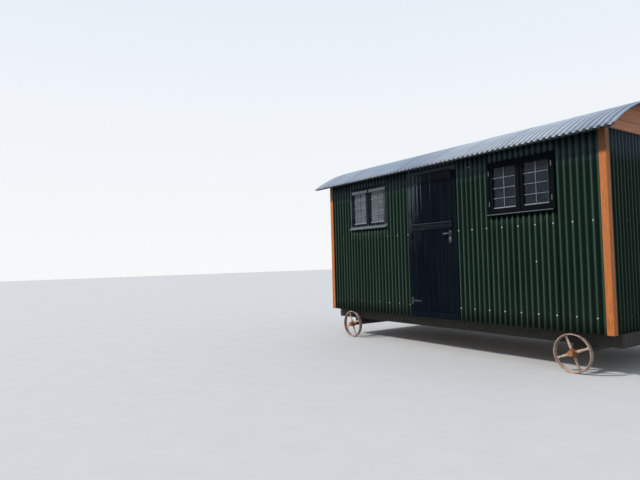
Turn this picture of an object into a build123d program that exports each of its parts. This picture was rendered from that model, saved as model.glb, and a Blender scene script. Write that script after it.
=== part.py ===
from build123d import *
import math
import os

# A shepherd's hut: a corrugated-iron body with a curved roof, a door cut in two
# leaves between two casement windows, on a timber chassis with four iron wheels.
# X runs along the hut, the door is in the wall that faces -Y, and Z = 0 is the ground.

os.makedirs("parts", exist_ok=True)

# Sizes are in millimetres.

# Body
body_length = 4925.0
body_width = 2440.0
post_size = 75.0
cladding_setback = 4.0

# Corrugated iron
corrugation_pitch = 76.2
corrugation_depth = 18.0
sheet_thickness = 1.2
sheet_joint = 1.0
shortest_run = 1.0

# Distance of the first crest from the end of the sheets
right_sheet_crest = 15.0
left_sheet_crest = 59.0
end_sheet_crest = 16.0
roof_sheet_crest = 30.0

# Roof
eave_height = 2614.0
cladding_rise = 42.0
roof_rise = 460.0
eave_overhang = 220.0
verge_overhang = 180.0
roof_flats = 8
roof_board_thickness = 20.0
roof_board_setback = 30.0
board_joint = 1.0

# Floor and chassis
floor_level = 557.0
floor_board_thickness = 22.0
joist_depth = 72.0
joist_width = 50.0
joist_count = 9
chassis_beam_depth = 150.0
chassis_beam_width = 100.0
chassis_beam_inset = 220.0
end_beam_thickness = 75.0

# Wheels and axles
wheel_diameter = 440.0
wheel_end_distance = 489.5
wheel_inset = 60.0
wheel_sides = 28
rim_width = 60.0
rim_thickness = 16.0
hub_sides = 16
hub_diameter = 84.0
hub_length = 110.0
hub_edge = 6.0
spoke_count = 4
spoke_hub_width = 38.0
spoke_rim_width = 26.0
spoke_thickness = 18.0
spoke_turn = 22.0
axle_diameter = 40.0
axle_bar = 50.0
axle_nut_width = 60.0
axle_nut_thickness = 10.0
bearing_clearance = 0.05
hub_end_play = 1.0
bolster_width = 100.0

# Door
door_centre = -20.0
door_frame_width = 930.0
door_frame_drop = 14.0
jamb_width = 75.0
door_head_depth = 50.0
door_split_rise = 1276.0
door_clearance = 5.0
door_board_thickness = 20.0
door_ledge_thickness = 24.0
door_ledge_height = 110.0
door_ledge_margin = 60.0
door_brace_width = 130.0
door_brace_margin = 30.0
door_stop_cover = 12.0
lower_rail_height = 107.0
lower_rail_thickness = 12.0
lower_rail_slope = 5.0

# Door hinges
hinge_sides = 8
hinge_height = 100.0
hinge_knuckle_diameter = 14.0
hinge_pin_diameter = 8.0
hinge_plate_thickness = 3.0
hinge_frame_plate = 42.0
hinge_strap_length = 154.0
hinge_strap_tip = 18.0
hinge_end_margin = 135.0
hinge_face_gap = 1.0
knuckle_gap = 1.0

# Door handle
handle_edge_distance = 42.0
handle_plate_width = 44.0
handle_plate_height = 178.0
handle_plate_thickness = 3.0
handle_plate_corner = 10.0
handle_rail_gap = 26.5
lever_length = 110.0
lever_sides = 12
lever_root_width = 22.0
lever_tip_width = 14.0
lever_thickness = 12.0
lever_standoff = 42.0
lever_raise = 45.0
spindle_diameter = 20.0

# Windows
window_end_distance = 590.5
window_width = 914.0
window_drop = 106.0
window_height = 665.0
window_frame_member = 29.0
window_mullion = 18.0
casement_clearance = 2.0
casement_stile = 45.0
casement_thickness = 40.0
casement_setback = 8.0
casement_stop = 14.0
glass_thickness = 4.0
sill_projection = 32.0
sill_thickness = 28.0
sill_rise = 13.0
sill_slope = 8.0
drip_distance = 8.0
drip_width = 6.0
drip_depth = 4.0

# Lamp hook under the eave
hook_door_distance = 215.0
hook_width = 80.0
hook_drop = 105.0
hook_eave_gap = 4.0
hook_rod = 10.0
hook_sides = 8
hook_bends = 6

# Planes and levels that follow from the sizes above
half_length = body_length / 2
half_width = body_width / 2
cladding_depth = corrugation_depth + sheet_thickness
cladding_face = cladding_setback + cladding_depth
core_outer_y = half_width - cladding_face
core_inner_y = half_width - post_size
core_outer_x = half_length - cladding_face
core_inner_x = half_length - post_size
joist_top = floor_level - floor_board_thickness
joist_bottom = joist_top - joist_depth
cladding_bottom = joist_bottom
cladding_top = eave_height + cladding_rise
beam_bottom = joist_bottom - chassis_beam_depth
chassis_beam_y = half_width - chassis_beam_inset
axle_height = wheel_diameter / 2
wheel_x = half_length - wheel_end_distance
wheel_y = half_width - wheel_inset
door_left = door_centre - door_frame_width / 2
door_right = door_centre + door_frame_width / 2
opening_left = door_left + jamb_width
opening_right = door_right - jamb_width
door_frame_top = eave_height - door_frame_drop
opening_top = door_frame_top - door_head_depth
leaf_left = opening_left + door_clearance
leaf_right = opening_right - door_clearance
leaf_top = opening_top - door_clearance
leaf_bottom = floor_level + door_clearance
leaf_back_y = -half_width + door_board_thickness + door_ledge_thickness
door_split_height = floor_level + door_split_rise
window_offset = half_length - window_end_distance - window_width / 2
window_top = eave_height - window_drop
window_bottom = window_top - window_height

# The roof's cross-section is a circle's arc, bent in equal flats
roof_half_width = half_width + eave_overhang
roof_half_length = half_length + verge_overhang
roof_radius = (roof_half_width ** 2 + roof_rise ** 2) / (2 * roof_rise)
roof_centre_z = eave_height + roof_rise - roof_radius
roof_half_angle = math.asin(roof_half_width / roof_radius)
flat_angle = 2 * roof_half_angle / roof_flats
flat_distance = roof_radius * math.cos(flat_angle / 2)
sheet_depth = corrugation_depth + sheet_thickness
roof_depth = sheet_depth + roof_board_thickness


def arch_height(y, depth):
    """Height at y of the roof's surface that lies depth under the crests."""
    tilts = [flat_angle * (k + 0.5) - roof_half_angle for k in range(roof_flats)]
    reach = flat_distance - depth
    return roof_centre_z + min((reach - y * math.sin(t)) / math.cos(t) for t in tilts)


def arch_points(y_start, y_end, depth):
    """Corners of that surface from y_start to y_end, as (y, z)."""
    bend_radius = (flat_distance - depth) / math.cos(flat_angle / 2)
    bends = [bend_radius * math.sin(flat_angle * k - roof_half_angle) for k in range(1, roof_flats)]
    inside = [y for y in bends if y_start < y < y_end]
    return [(y, arch_height(y, depth)) for y in [y_start, *inside, y_end]]


def corrugation_points(start, end, crest):
    """Outline of a corrugated sheet's outer face with a crest at crest, as (run, height)."""
    eighth = corrugation_pitch / 8

    def height(run):
        from_crest = abs((run - crest + corrugation_pitch / 2) % corrugation_pitch - corrugation_pitch / 2)
        fall = min(max((from_crest - eighth) / (2 * eighth), 0.0), 1.0)
        return corrugation_depth * (1.0 - fall)

    first = math.floor((start - crest) / corrugation_pitch) - 1
    last = math.ceil((end - crest) / corrugation_pitch) + 1
    bends = [crest + k * corrugation_pitch + n * eighth for k in range(first, last) for n in (1, 3, 5, 7)]
    inside = [run for run in bends if start + shortest_run < run < end - shortest_run]
    return [(run, height(run)) for run in [start, *inside, end]]


def wall_plane(outward, distance, z):
    """Plane at height z, x along a wall and y out of it, distance from the centre."""
    along = outward.cross(Vector(0, 0, 1))
    return Plane(origin=outward * distance + Vector(0, 0, z), x_dir=along, z_dir=(0, 0, 1))


FRONT = Vector(0, -1, 0)
BACK = Vector(0, 1, 0)
LEFT = Vector(-1, 0, 0)
RIGHT = Vector(1, 0, 0)


def elevation(y):
    """Plane of the front view at y, with x to the right, y up and its depth towards the viewer."""
    return Plane(origin=(0, y, 0), x_dir=(1, 0, 0), z_dir=FRONT)


def save(piece, name):
    piece.label = name
    export_step(piece, f"parts/{name}.step")


def box_between(x0, x1, y0, y1, z0, z1, mode=Mode.ADD):
    """A block between six faces, in the part being built."""
    with Locations(((x0 + x1) / 2, (y0 + y1) / 2, (z0 + z1) / 2)):
        Box(abs(x1 - x0), abs(y1 - y0), abs(z1 - z0), mode=mode)


def rectangle_between(x0, x1, z0, z1, mode=Mode.ADD):
    """A rectangle between four edges, in the sketch being built."""
    with Locations(((x0 + x1) / 2, (z0 + z1) / 2)):
        Rectangle(x1 - x0, z1 - z0, mode=mode)


def cladding_sheet(outward, distance, start, end, z0, z1, crest):
    """A corrugated sheet on a wall, from start to end along it, with a crest at crest."""
    with BuildPart() as sheet:
        with BuildSketch(wall_plane(outward, distance, z0)):
            with BuildLine():
                points = corrugation_points(start, end, crest)
                face = [(run, height + sheet_thickness) for run, height in points]
                Polyline((start, 0), *face, (end, 0), close=True)
            make_face()
        extrude(amount=z1 - z0)
    return sheet.part


# Chassis
with BuildPart() as chassis_beams:
    beam_half_length = half_length - end_beam_thickness
    with Locations(
        (0, -chassis_beam_y, joist_bottom - chassis_beam_depth / 2),
        (0, chassis_beam_y, joist_bottom - chassis_beam_depth / 2),
    ):
        Box(2 * beam_half_length, chassis_beam_width, chassis_beam_depth)
save(chassis_beams.part, "chassis_beams")

with BuildPart() as end_beams:
    end_beam_length = 2 * chassis_beam_y + chassis_beam_width
    with Locations(
        (-half_length + end_beam_thickness / 2, 0, joist_bottom - chassis_beam_depth / 2),
        (half_length - end_beam_thickness / 2, 0, joist_bottom - chassis_beam_depth / 2),
    ):
        Box(end_beam_thickness, end_beam_length, chassis_beam_depth)
save(end_beams.part, "end_beams")

with BuildPart() as axle_bolsters:
    bolster_bottom = axle_height + axle_bar / 2
    for x in (-wheel_x, wheel_x):
        box_between(
            x - bolster_width / 2, x + bolster_width / 2,
            -end_beam_length / 2, end_beam_length / 2,
            bolster_bottom, beam_bottom,
        )
save(axle_bolsters.part, "axle_bolsters")


def make_axle(x):
    """A square bar with turned ends, each end with a nut outside its wheel's hub."""
    shoulder_y = wheel_y - hub_length / 2 - hub_end_play
    nut_y = wheel_y + hub_length / 2 + hub_end_play
    with BuildPart() as axle:
        box_between(
            x - axle_bar / 2, x + axle_bar / 2, -shoulder_y, shoulder_y,
            axle_height - axle_bar / 2, axle_height + axle_bar / 2,
        )
        for turned in (FRONT, BACK):
            with BuildSketch(Plane(origin=Vector(x, 0, axle_height) + turned * shoulder_y, z_dir=turned)):
                Circle(axle_diameter / 2)
            extrude(amount=nut_y - shoulder_y)
            with BuildSketch(Plane(origin=Vector(x, 0, axle_height) + turned * nut_y, z_dir=turned)):
                RegularPolygon(axle_nut_width / 2, 6, major_radius=False)
            extrude(amount=axle_nut_thickness)
    return axle.part


def make_wheel(x, y):
    """A cast wheel with a flat rim, a hub and tapered spokes. Rim and hub have many small flats."""
    face = Plane(origin=(x, y, axle_height), x_dir=(1, 0, 0), z_dir=FRONT)
    rim_inner = wheel_diameter / 2 - rim_thickness
    flat_down = 180 / wheel_sides
    with BuildPart() as wheel:
        with BuildSketch(face):
            RegularPolygon(wheel_diameter / 2, wheel_sides, major_radius=False, rotation=flat_down)
            RegularPolygon(
                rim_inner, wheel_sides, major_radius=False, rotation=flat_down, mode=Mode.SUBTRACT
            )
        extrude(amount=rim_width / 2, both=True)
        with BuildSketch(face):
            RegularPolygon(hub_diameter / 2, hub_sides, major_radius=False)
        extrude(amount=hub_length / 2, both=True)
        with BuildSketch(face):
            with BuildLine():
                start = hub_diameter / 2 - hub_edge
                end = rim_inner + rim_thickness / 2
                Polyline(
                    (start, -spoke_hub_width / 2), (end, -spoke_rim_width / 2),
                    (end, spoke_rim_width / 2), (start, spoke_hub_width / 2), close=True,
                )
            spoke = make_face(mode=Mode.PRIVATE)
            with Locations(Rotation(0, 0, spoke_turn)):
                with PolarLocations(0, spoke_count):
                    add(spoke)
        extrude(amount=spoke_thickness / 2, both=True)
        with BuildSketch(face):
            Circle(axle_diameter / 2 + bearing_clearance)
        extrude(amount=hub_length, both=True, mode=Mode.SUBTRACT)
    return wheel.part


for side_name, x in (("left", -wheel_x), ("right", wheel_x)):
    save(make_axle(x), f"axle_{side_name}")
    save(make_wheel(x, -wheel_y), f"wheel_front_{side_name}")
    save(make_wheel(x, wheel_y), f"wheel_back_{side_name}")

# Floor
with BuildPart() as floor_joists:
    inner_run = 2 * (core_outer_x - joist_width / 2)
    joist_step = inner_run / (joist_count - 1)
    for k in range(joist_count):
        x = -inner_run / 2 + k * joist_step
        at_end = k in (0, joist_count - 1)
        reach = core_inner_y if at_end else core_outer_y
        box_between(x - joist_width / 2, x + joist_width / 2, -reach, reach, joist_bottom, joist_top)
save(floor_joists.part, "floor_joists")

with BuildPart() as floor_boards:
    box_between(-core_inner_x, core_inner_x, -core_inner_y, core_inner_y, joist_top, floor_level)
save(floor_boards.part, "floor_boards")


# Walls: timber frame and lining behind the iron
def make_long_wall(side, x0, x1, z0, window_x=None):
    """A length of front (side -1) or back (side 1) wall up to the roof boards."""
    with BuildPart() as wall:
        with BuildSketch(Plane.YZ.offset(x0)):
            with BuildLine():
                outer = side * core_outer_y
                inner = side * core_inner_y
                Polyline(
                    (outer, z0), (inner, z0), (inner, arch_height(inner, roof_depth)),
                    (outer, arch_height(outer, roof_depth)), close=True,
                )
            make_face()
        extrude(amount=x1 - x0)
        if window_x is not None:
            box_between(
                window_x - window_width / 2, window_x + window_width / 2,
                side * half_width, side * (core_inner_y - post_size),
                window_bottom, window_top, mode=Mode.SUBTRACT,
            )
    return wall.part


save(make_long_wall(-1, -core_inner_x, door_left, joist_top, -window_offset), "front_wall_left")
save(make_long_wall(-1, door_right, core_inner_x, joist_top, window_offset), "front_wall_right")
save(make_long_wall(-1, door_left, door_right, door_frame_top), "front_wall_over_door")
save(make_long_wall(1, -core_inner_x, core_inner_x, joist_top), "back_wall")


def make_end_piece(x0, x1, half_run, z0):
    """A slab across the hut from z0 up to the roof boards."""
    with BuildPart() as slab:
        with BuildSketch(Plane.YZ.offset(x0)):
            with BuildLine():
                top = arch_points(-half_run, half_run, roof_depth)
                Polyline((-half_run, z0), *top, (half_run, z0), close=True)
            make_face()
        extrude(amount=x1 - x0)
    return slab.part


save(make_end_piece(-core_outer_x, -core_inner_x, core_inner_y, joist_top), "left_end_wall")
save(make_end_piece(core_inner_x, core_outer_x, core_inner_y, joist_top), "right_end_wall")
save(make_end_piece(-half_length, -core_outer_x, half_width, cladding_top), "left_gable_boards")
save(make_end_piece(core_outer_x, half_length, half_width, cladding_top), "right_gable_boards")

# Corner posts
for x_name, x_side in (("left", -1), ("right", 1)):
    for y_name, y_side in (("front", -1), ("back", 1)):
        with BuildPart() as post:
            box_between(
                x_side * core_inner_x, x_side * half_length,
                y_side * core_inner_y, y_side * half_width,
                cladding_bottom, cladding_top,
            )
        save(post.part, f"corner_post_{y_name}_{x_name}")


# Corrugated cladding
def make_window_cladding(x0, x1, window_x, crest_x):
    """Sheets beside, under and over a window in the front wall, between x0 and x1."""
    window_start = window_x - window_width / 2
    window_end = window_x + window_width / 2
    spans = (
        (x0, window_start - sheet_joint, cladding_bottom, cladding_top),
        (window_start, window_end, cladding_bottom, window_bottom),
        (window_start, window_end, window_top, cladding_top),
        (window_end + sheet_joint, x1, cladding_bottom, cladding_top),
    )
    with BuildPart() as cladding:
        for start, end, z0, z1 in spans:
            add(cladding_sheet(FRONT, core_outer_y, -end, -start, z0, z1, -crest_x))
    return cladding.part


left_crest_x = left_sheet_crest - core_inner_x
right_crest_x = core_inner_x - right_sheet_crest
save(make_window_cladding(-core_inner_x, door_left, -window_offset, left_crest_x), "front_cladding_left")
save(make_window_cladding(door_right, core_inner_x, window_offset, right_crest_x), "front_cladding_right")

front_cladding_over_door = cladding_sheet(
    FRONT, core_outer_y, -door_right, -door_left, door_frame_top, cladding_top, -right_crest_x
)
save(front_cladding_over_door, "front_cladding_over_door")

back_cladding = cladding_sheet(
    BACK, core_outer_y, -core_inner_x, core_inner_x, cladding_bottom, cladding_top, right_crest_x
)
save(back_cladding, "back_cladding")

end_crest_y = end_sheet_crest - core_inner_y
for outward, name, crest in ((LEFT, "left", end_crest_y), (RIGHT, "right", -end_crest_y)):
    end_cladding = cladding_sheet(
        outward, core_outer_x, -core_inner_y, core_inner_y, cladding_bottom, cladding_top, crest
    )
    save(end_cladding, f"{name}_end_cladding")

# Roof: a panel of boards under each flat, and one sheet over all
with BuildPart() as roof_boards:
    board_half_width = roof_half_width - roof_board_setback
    board_half_length = roof_half_length - roof_board_setback
    with BuildSketch(Plane.YZ.offset(-board_half_length)):
        with BuildLine():
            top = arch_points(-board_half_width, board_half_width, sheet_depth)
            under = arch_points(-board_half_width, board_half_width, roof_depth)
            Polyline(*top, *reversed(under), close=True)
        make_face()
        last_bend = math.degrees(roof_half_angle - flat_angle)
        with Locations((0, roof_centre_z)):
            with PolarLocations(
                flat_distance - sheet_depth, roof_flats - 1, 90 - last_bend, 2 * last_bend, endpoint=True
            ):
                Rectangle(2 * roof_depth, board_joint, mode=Mode.SUBTRACT)
    extrude(amount=2 * board_half_length)
save(roof_boards.part, "roof_boards")

with BuildPart() as roof_sheet:
    with BuildLine() as arch:
        Polyline(*[
            (
                0,
                roof_radius * math.sin(flat_angle * k - roof_half_angle),
                roof_centre_z + roof_radius * math.cos(flat_angle * k - roof_half_angle),
            )
            for k in range(roof_flats + 1)
        ])
    with BuildSketch(Plane(origin=arch.line @ 0, x_dir=(-1, 0, 0), z_dir=arch.line % 0)):
        with BuildLine():
            first_crest = roof_sheet_crest - roof_half_length
            crests = corrugation_points(-roof_half_length, roof_half_length, first_crest)
            outer = [(run, height - corrugation_depth) for run, height in crests]
            Polyline(
                (-roof_half_length, -sheet_depth), *outer, (roof_half_length, -sheet_depth), close=True
            )
        make_face()
    sweep(path=arch.line, transition=Transition.RIGHT)
save(roof_sheet.part, "roof_sheet")

# Door frame: jambs, head and threshold, with a stop behind the leaves and a board under the door
with BuildPart() as door_frame:
    frame_back = -core_inner_y
    stop_front = leaf_back_y + door_clearance
    stop_width = door_clearance + door_stop_cover
    with BuildSketch(elevation(frame_back)):
        rectangle_between(door_left, door_right, joist_top, door_frame_top)
        rectangle_between(opening_left, opening_right, floor_level, opening_top, mode=Mode.SUBTRACT)
    extrude(amount=post_size)
    with BuildSketch(elevation(frame_back)):
        rectangle_between(opening_left, opening_right, floor_level, opening_top)
        rectangle_between(
            opening_left + stop_width, opening_right - stop_width,
            floor_level, opening_top - stop_width, mode=Mode.SUBTRACT,
        )
    extrude(amount=frame_back - stop_front)
    with BuildSketch(elevation(-core_outer_y)):
        rectangle_between(door_left, door_right, cladding_bottom, joist_top)
    extrude(amount=cladding_face)
save(door_frame.part, "door_frame")


def make_leaf(z0, z1):
    """A boarded leaf with two ledges and a brace behind."""
    board_back = -half_width + door_board_thickness
    low_ledge = z0 + door_ledge_margin
    high_ledge = z1 - door_ledge_margin - door_ledge_height
    brace_left = leaf_left + door_brace_margin
    brace_right = leaf_right - door_brace_margin
    with BuildPart() as leaf:
        with BuildSketch(elevation(board_back)):
            rectangle_between(leaf_left, leaf_right, z0, z1)
        extrude(amount=door_board_thickness)
        with BuildSketch(elevation(leaf_back_y)):
            rectangle_between(leaf_left, leaf_right, low_ledge, low_ledge + door_ledge_height)
            rectangle_between(leaf_left, leaf_right, high_ledge, high_ledge + door_ledge_height)
            with BuildLine():
                Polyline(
                    (brace_left, low_ledge + door_ledge_height),
                    (brace_left + door_brace_width, low_ledge + door_ledge_height),
                    (brace_right, high_ledge), (brace_right - door_brace_width, high_ledge), close=True,
                )
            make_face()
        extrude(amount=door_ledge_thickness)
    return leaf.part


def make_rail(top):
    """The rail across the lower leaf's face, with a top that sheds water."""
    face = -half_width - lower_rail_thickness
    with BuildPart() as rail:
        with BuildSketch(Plane.YZ.offset(leaf_left + door_clearance)):
            with BuildLine():
                Polyline(
                    (-half_width, top - lower_rail_height), (face, top - lower_rail_height),
                    (face, top - lower_rail_slope), (-half_width, top), close=True,
                )
            make_face()
        extrude(amount=leaf_right - leaf_left - door_clearance)
    return rail.part


upper_leaf_bottom = door_split_height + door_clearance / 2
lower_leaf_top = door_split_height - door_clearance / 2
save(make_leaf(upper_leaf_bottom, leaf_top), "upper_door")
with BuildPart() as lower_door:
    add(make_leaf(leaf_bottom, lower_leaf_top))
    add(make_rail(lower_leaf_top))
save(lower_door.part, "lower_door")

# Door hinges: a pin and two knuckles on the frame, one knuckle and a strap on the leaf
hinge_x = leaf_left - door_clearance / 2
hinge_y = -half_width - hinge_face_gap - hinge_knuckle_diameter / 2
knuckle_length = (hinge_height - 2 * knuckle_gap) / 3
plate_gap = hinge_knuckle_diameter / 2 + knuckle_gap
upper_hinges = (upper_leaf_bottom + hinge_end_margin, leaf_top - hinge_end_margin)
lower_hinges = (
    leaf_bottom + hinge_end_margin,
    lower_leaf_top - lower_rail_height - hinge_end_margin / 2,
)


def hinge_cylinder(diameter, z0, z1, mode=Mode.ADD):
    """A cylinder about the hinge axis, in the part being built."""
    with Locations((hinge_x, hinge_y, (z0 + z1) / 2)):
        Cylinder(diameter / 2, z1 - z0, mode=mode)


def hinge_knuckle(z0, z1):
    """A knuckle about the hinge axis, with small flats."""
    with BuildPart() as knuckle:
        with BuildSketch(Plane.XY.offset(z0)):
            with Locations((hinge_x, hinge_y)):
                RegularPolygon(
                    hinge_knuckle_diameter / 2, hinge_sides, major_radius=False, rotation=180 / hinge_sides
                )
        extrude(amount=z1 - z0)
    return knuckle.part


with BuildPart() as frame_hinges:
    plate_outer = -half_width - hinge_plate_thickness
    for middle in (*upper_hinges, *lower_hinges):
        low = middle - hinge_height / 2
        high = middle + hinge_height / 2
        box_between(
            hinge_x - plate_gap - hinge_frame_plate, hinge_x - plate_gap,
            plate_outer, -half_width, low, high,
        )
        for z0, z1 in ((low, low + knuckle_length), (high - knuckle_length, high)):
            box_between(hinge_x - plate_gap, hinge_x, plate_outer, -half_width, z0, z1)
            add(hinge_knuckle(z0, z1))
        hinge_cylinder(hinge_pin_diameter, low, high)
save(frame_hinges.part, "frame_hinges")


def make_leaf_hinges(middles):
    """The tapered straps on a leaf, each with a knuckle bored for the pin."""
    with BuildPart() as hinges:
        for middle in middles:
            low = middle - knuckle_length / 2
            high = middle + knuckle_length / 2
            tip_x = hinge_x + hinge_strap_length
            with BuildSketch(elevation(-half_width)):
                with BuildLine():
                    Polyline(
                        (hinge_x, low), (tip_x, middle - hinge_strap_tip / 2),
                        (tip_x, middle + hinge_strap_tip / 2), (hinge_x, high), close=True,
                    )
                make_face()
            extrude(amount=hinge_plate_thickness)
            add(hinge_knuckle(low, high))
            bore_diameter = hinge_pin_diameter + 2 * bearing_clearance
            hinge_cylinder(bore_diameter, low - knuckle_gap, high + knuckle_gap, mode=Mode.SUBTRACT)
    return hinges.part


save(make_leaf_hinges(upper_hinges), "upper_door_hinges")
save(make_leaf_hinges(lower_hinges), "lower_door_hinges")

# Door handle: a plate with a tapered lever that points to the hinges
with BuildPart() as door_handle:
    handle_x = leaf_right - handle_edge_distance
    handle_top = lower_leaf_top - lower_rail_height - handle_rail_gap
    handle_z = handle_top - handle_plate_height / 2
    lever_z = handle_z + lever_raise
    lever_tip_x = handle_x - lever_length + lever_tip_width / 2
    plate_face = -half_width - handle_plate_thickness
    with BuildSketch(elevation(-half_width)):
        with Locations((handle_x, handle_z)):
            plate = Rectangle(handle_plate_width, handle_plate_height)
        chamfer(plate.vertices(), length=handle_plate_corner)
    extrude(amount=handle_plate_thickness)
    with BuildSketch(elevation(plate_face)):
        with Locations((handle_x, lever_z)):
            RegularPolygon(spindle_diameter / 2, lever_sides, major_radius=False)
    extrude(amount=lever_standoff - lever_thickness)
    with BuildSketch(elevation(plate_face - lever_standoff + lever_thickness)):
        with Locations((handle_x, lever_z)):
            RegularPolygon(lever_root_width / 2, lever_sides, major_radius=False)
        with Locations((lever_tip_x, lever_z)):
            RegularPolygon(lever_tip_width / 2, lever_sides, major_radius=False)
        make_hull()
    extrude(amount=lever_thickness)
save(door_handle.part, "door_handle")


# Windows: a frame with a middle post and a sill, two casements, and their glass
def casement_spans(window_x):
    """The two casements of a window, as (left, right)."""
    reach = window_width / 2 - window_frame_member - casement_clearance
    near = window_mullion / 2 + casement_clearance
    return ((window_x - reach, window_x - near), (window_x + near, window_x + reach))


casement_bottom = window_bottom + window_frame_member + casement_clearance
casement_top = window_top - window_frame_member - casement_clearance
casement_front = -half_width + casement_setback
casement_back = casement_front + casement_thickness
glass_front = casement_front + (casement_thickness - glass_thickness) / 2


def make_window_frame(window_x):
    """Frame and middle post, rebated so that each casement shuts against a stop."""
    left = window_x - window_width / 2
    right = window_x + window_width / 2
    low = window_bottom + window_frame_member
    high = window_top - window_frame_member
    openings = (
        (left + window_frame_member, window_x - window_mullion / 2),
        (window_x + window_mullion / 2, right - window_frame_member),
    )
    layers = ((-core_inner_y, casement_back, casement_stop), (casement_back, -half_width, 0.0))
    with BuildPart() as frame:
        for back, front, stop in layers:
            with BuildSketch(elevation(back)):
                rectangle_between(left, right, window_bottom, window_top)
                for start, end in openings:
                    rectangle_between(
                        start + stop, end - stop, low + stop, high - stop, mode=Mode.SUBTRACT
                    )
            extrude(amount=back - front)
        add(make_sill(left, right))
    return frame.part


def make_sill(left, right):
    """A sill with a top that sheds water and a drip groove under its nose."""
    top = window_bottom + sill_rise
    low = top - sill_thickness
    nose = -half_width - sill_projection
    drip_front = nose + drip_distance
    drip_back = drip_front + drip_width
    with BuildPart() as sill:
        with BuildSketch(Plane.YZ.offset(left)):
            with BuildLine():
                Polyline(
                    (-half_width, low), (drip_back, low), (drip_back, low + drip_depth),
                    (drip_front, low + drip_depth), (drip_front, low), (nose, low),
                    (nose, top - sill_slope), (-half_width, top), close=True,
                )
            make_face()
        extrude(amount=right - left)
    return sill.part


def make_casements(window_x):
    with BuildPart() as casements:
        with BuildSketch(elevation(casement_back)):
            for left, right in casement_spans(window_x):
                rectangle_between(left, right, casement_bottom, casement_top)
                rectangle_between(
                    left + casement_stile, right - casement_stile,
                    casement_bottom + casement_stile, casement_top - casement_stile, mode=Mode.SUBTRACT,
                )
        extrude(amount=casement_thickness)
    return casements.part


def make_glass(window_x):
    with BuildPart() as glass:
        with BuildSketch(elevation(glass_front + glass_thickness)):
            for left, right in casement_spans(window_x):
                rectangle_between(
                    left + casement_stile, right - casement_stile,
                    casement_bottom + casement_stile, casement_top - casement_stile,
                )
        extrude(amount=glass_thickness)
    return glass.part


for name, window_x in (("left", -window_offset), ("right", window_offset)):
    save(make_window_frame(window_x), f"{name}_window_frame")
    save(make_casements(window_x), f"{name}_casements")
    save(make_glass(window_x), f"{name}_window_glass")

# Lamp hook: a rod bent to a U that stands on the cladding under the eave
with BuildPart() as eave_hook:
    hook_x = door_right + hook_door_distance
    hook_top = eave_height - hook_eave_gap
    hook_y = -half_width + cladding_setback - hook_rod / 2
    bend_radius = (hook_width - hook_rod) / 2
    bend_z = hook_top - hook_drop + bend_radius
    turns = [math.pi * k / hook_bends for k in range(hook_bends + 1)]
    bend = [
        (hook_x - bend_radius * math.cos(turn), hook_y, bend_z - bend_radius * math.sin(turn))
        for turn in turns
    ]
    with BuildLine() as rod_path:
        Polyline(
            (hook_x - bend_radius, hook_y, hook_top), *bend, (hook_x + bend_radius, hook_y, hook_top)
        )
    with BuildSketch(Plane(origin=rod_path.line @ 0, z_dir=rod_path.line % 0)):
        RegularPolygon(hook_rod / 2, hook_sides, major_radius=False, rotation=180 / hook_sides)
    sweep(path=rod_path.line, transition=Transition.RIGHT)
save(eave_hook.part, "eave_hook")
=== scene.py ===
import math

import bmesh
import bpy
from mathutils import Matrix, Vector, noise


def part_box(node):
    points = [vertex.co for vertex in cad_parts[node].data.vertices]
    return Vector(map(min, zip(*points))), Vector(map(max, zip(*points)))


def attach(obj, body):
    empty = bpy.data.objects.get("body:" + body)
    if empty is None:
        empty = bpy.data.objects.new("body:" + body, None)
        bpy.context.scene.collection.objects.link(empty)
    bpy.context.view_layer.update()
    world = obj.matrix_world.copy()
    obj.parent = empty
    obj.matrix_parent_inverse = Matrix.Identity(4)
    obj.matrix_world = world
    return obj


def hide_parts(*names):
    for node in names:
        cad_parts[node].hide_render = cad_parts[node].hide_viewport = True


# A shepherd's hut seen from its door side. Sizes are in metres, in the frame's own axes:
# X along the hut, the door in the wall that faces -Y, and Z = 0 on the ground.

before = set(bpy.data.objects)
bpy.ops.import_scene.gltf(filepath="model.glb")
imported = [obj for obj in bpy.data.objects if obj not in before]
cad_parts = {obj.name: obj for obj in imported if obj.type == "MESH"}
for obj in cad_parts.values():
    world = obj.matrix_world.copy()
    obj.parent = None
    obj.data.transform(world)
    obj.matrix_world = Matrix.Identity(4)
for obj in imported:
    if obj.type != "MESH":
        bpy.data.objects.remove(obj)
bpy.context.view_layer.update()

# Places read from the frame
post_low, post_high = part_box("corner_post_front_right")
HALF_LENGTH = post_high.x
HALF_WIDTH = -post_low.y
POST = post_high.x - post_low.x
cladding_low, cladding_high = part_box("front_cladding_right")
CORE_Y = -cladding_high.y
CLADDING_BOTTOM = cladding_low.z
CLADDING_TOP = cladding_high.z
CORE_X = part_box("right_end_cladding")[0].x
INNER_X = HALF_LENGTH - POST
INNER_Y = HALF_WIDTH - POST
ROOF_LOW, ROOF_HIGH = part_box("roof_sheet")
door_frame_low, door_frame_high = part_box("door_frame")
CORNERS = ("front_left", "front_right", "back_left", "back_right")

# Corrugated iron
PITCH = 0.0762
WAVE = 0.018
SHEET = 0.0012
SHEET_DRAWN = 0.8 * SHEET
COVER = 8 * PITCH
LAP = 1.5 * PITCH
LAP_RISE = 0.25 * PITCH
STEPS_PER_PITCH = 12
ROW_HEIGHT = 0.18
WOBBLE = 0.0006
RIGHT_CREST = INNER_X - 0.015
LEFT_CREST = 0.059 - INNER_X
END_CREST = 0.016 - INNER_Y
ROOF_CREST = ROOF_HIGH.x - 0.03

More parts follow.
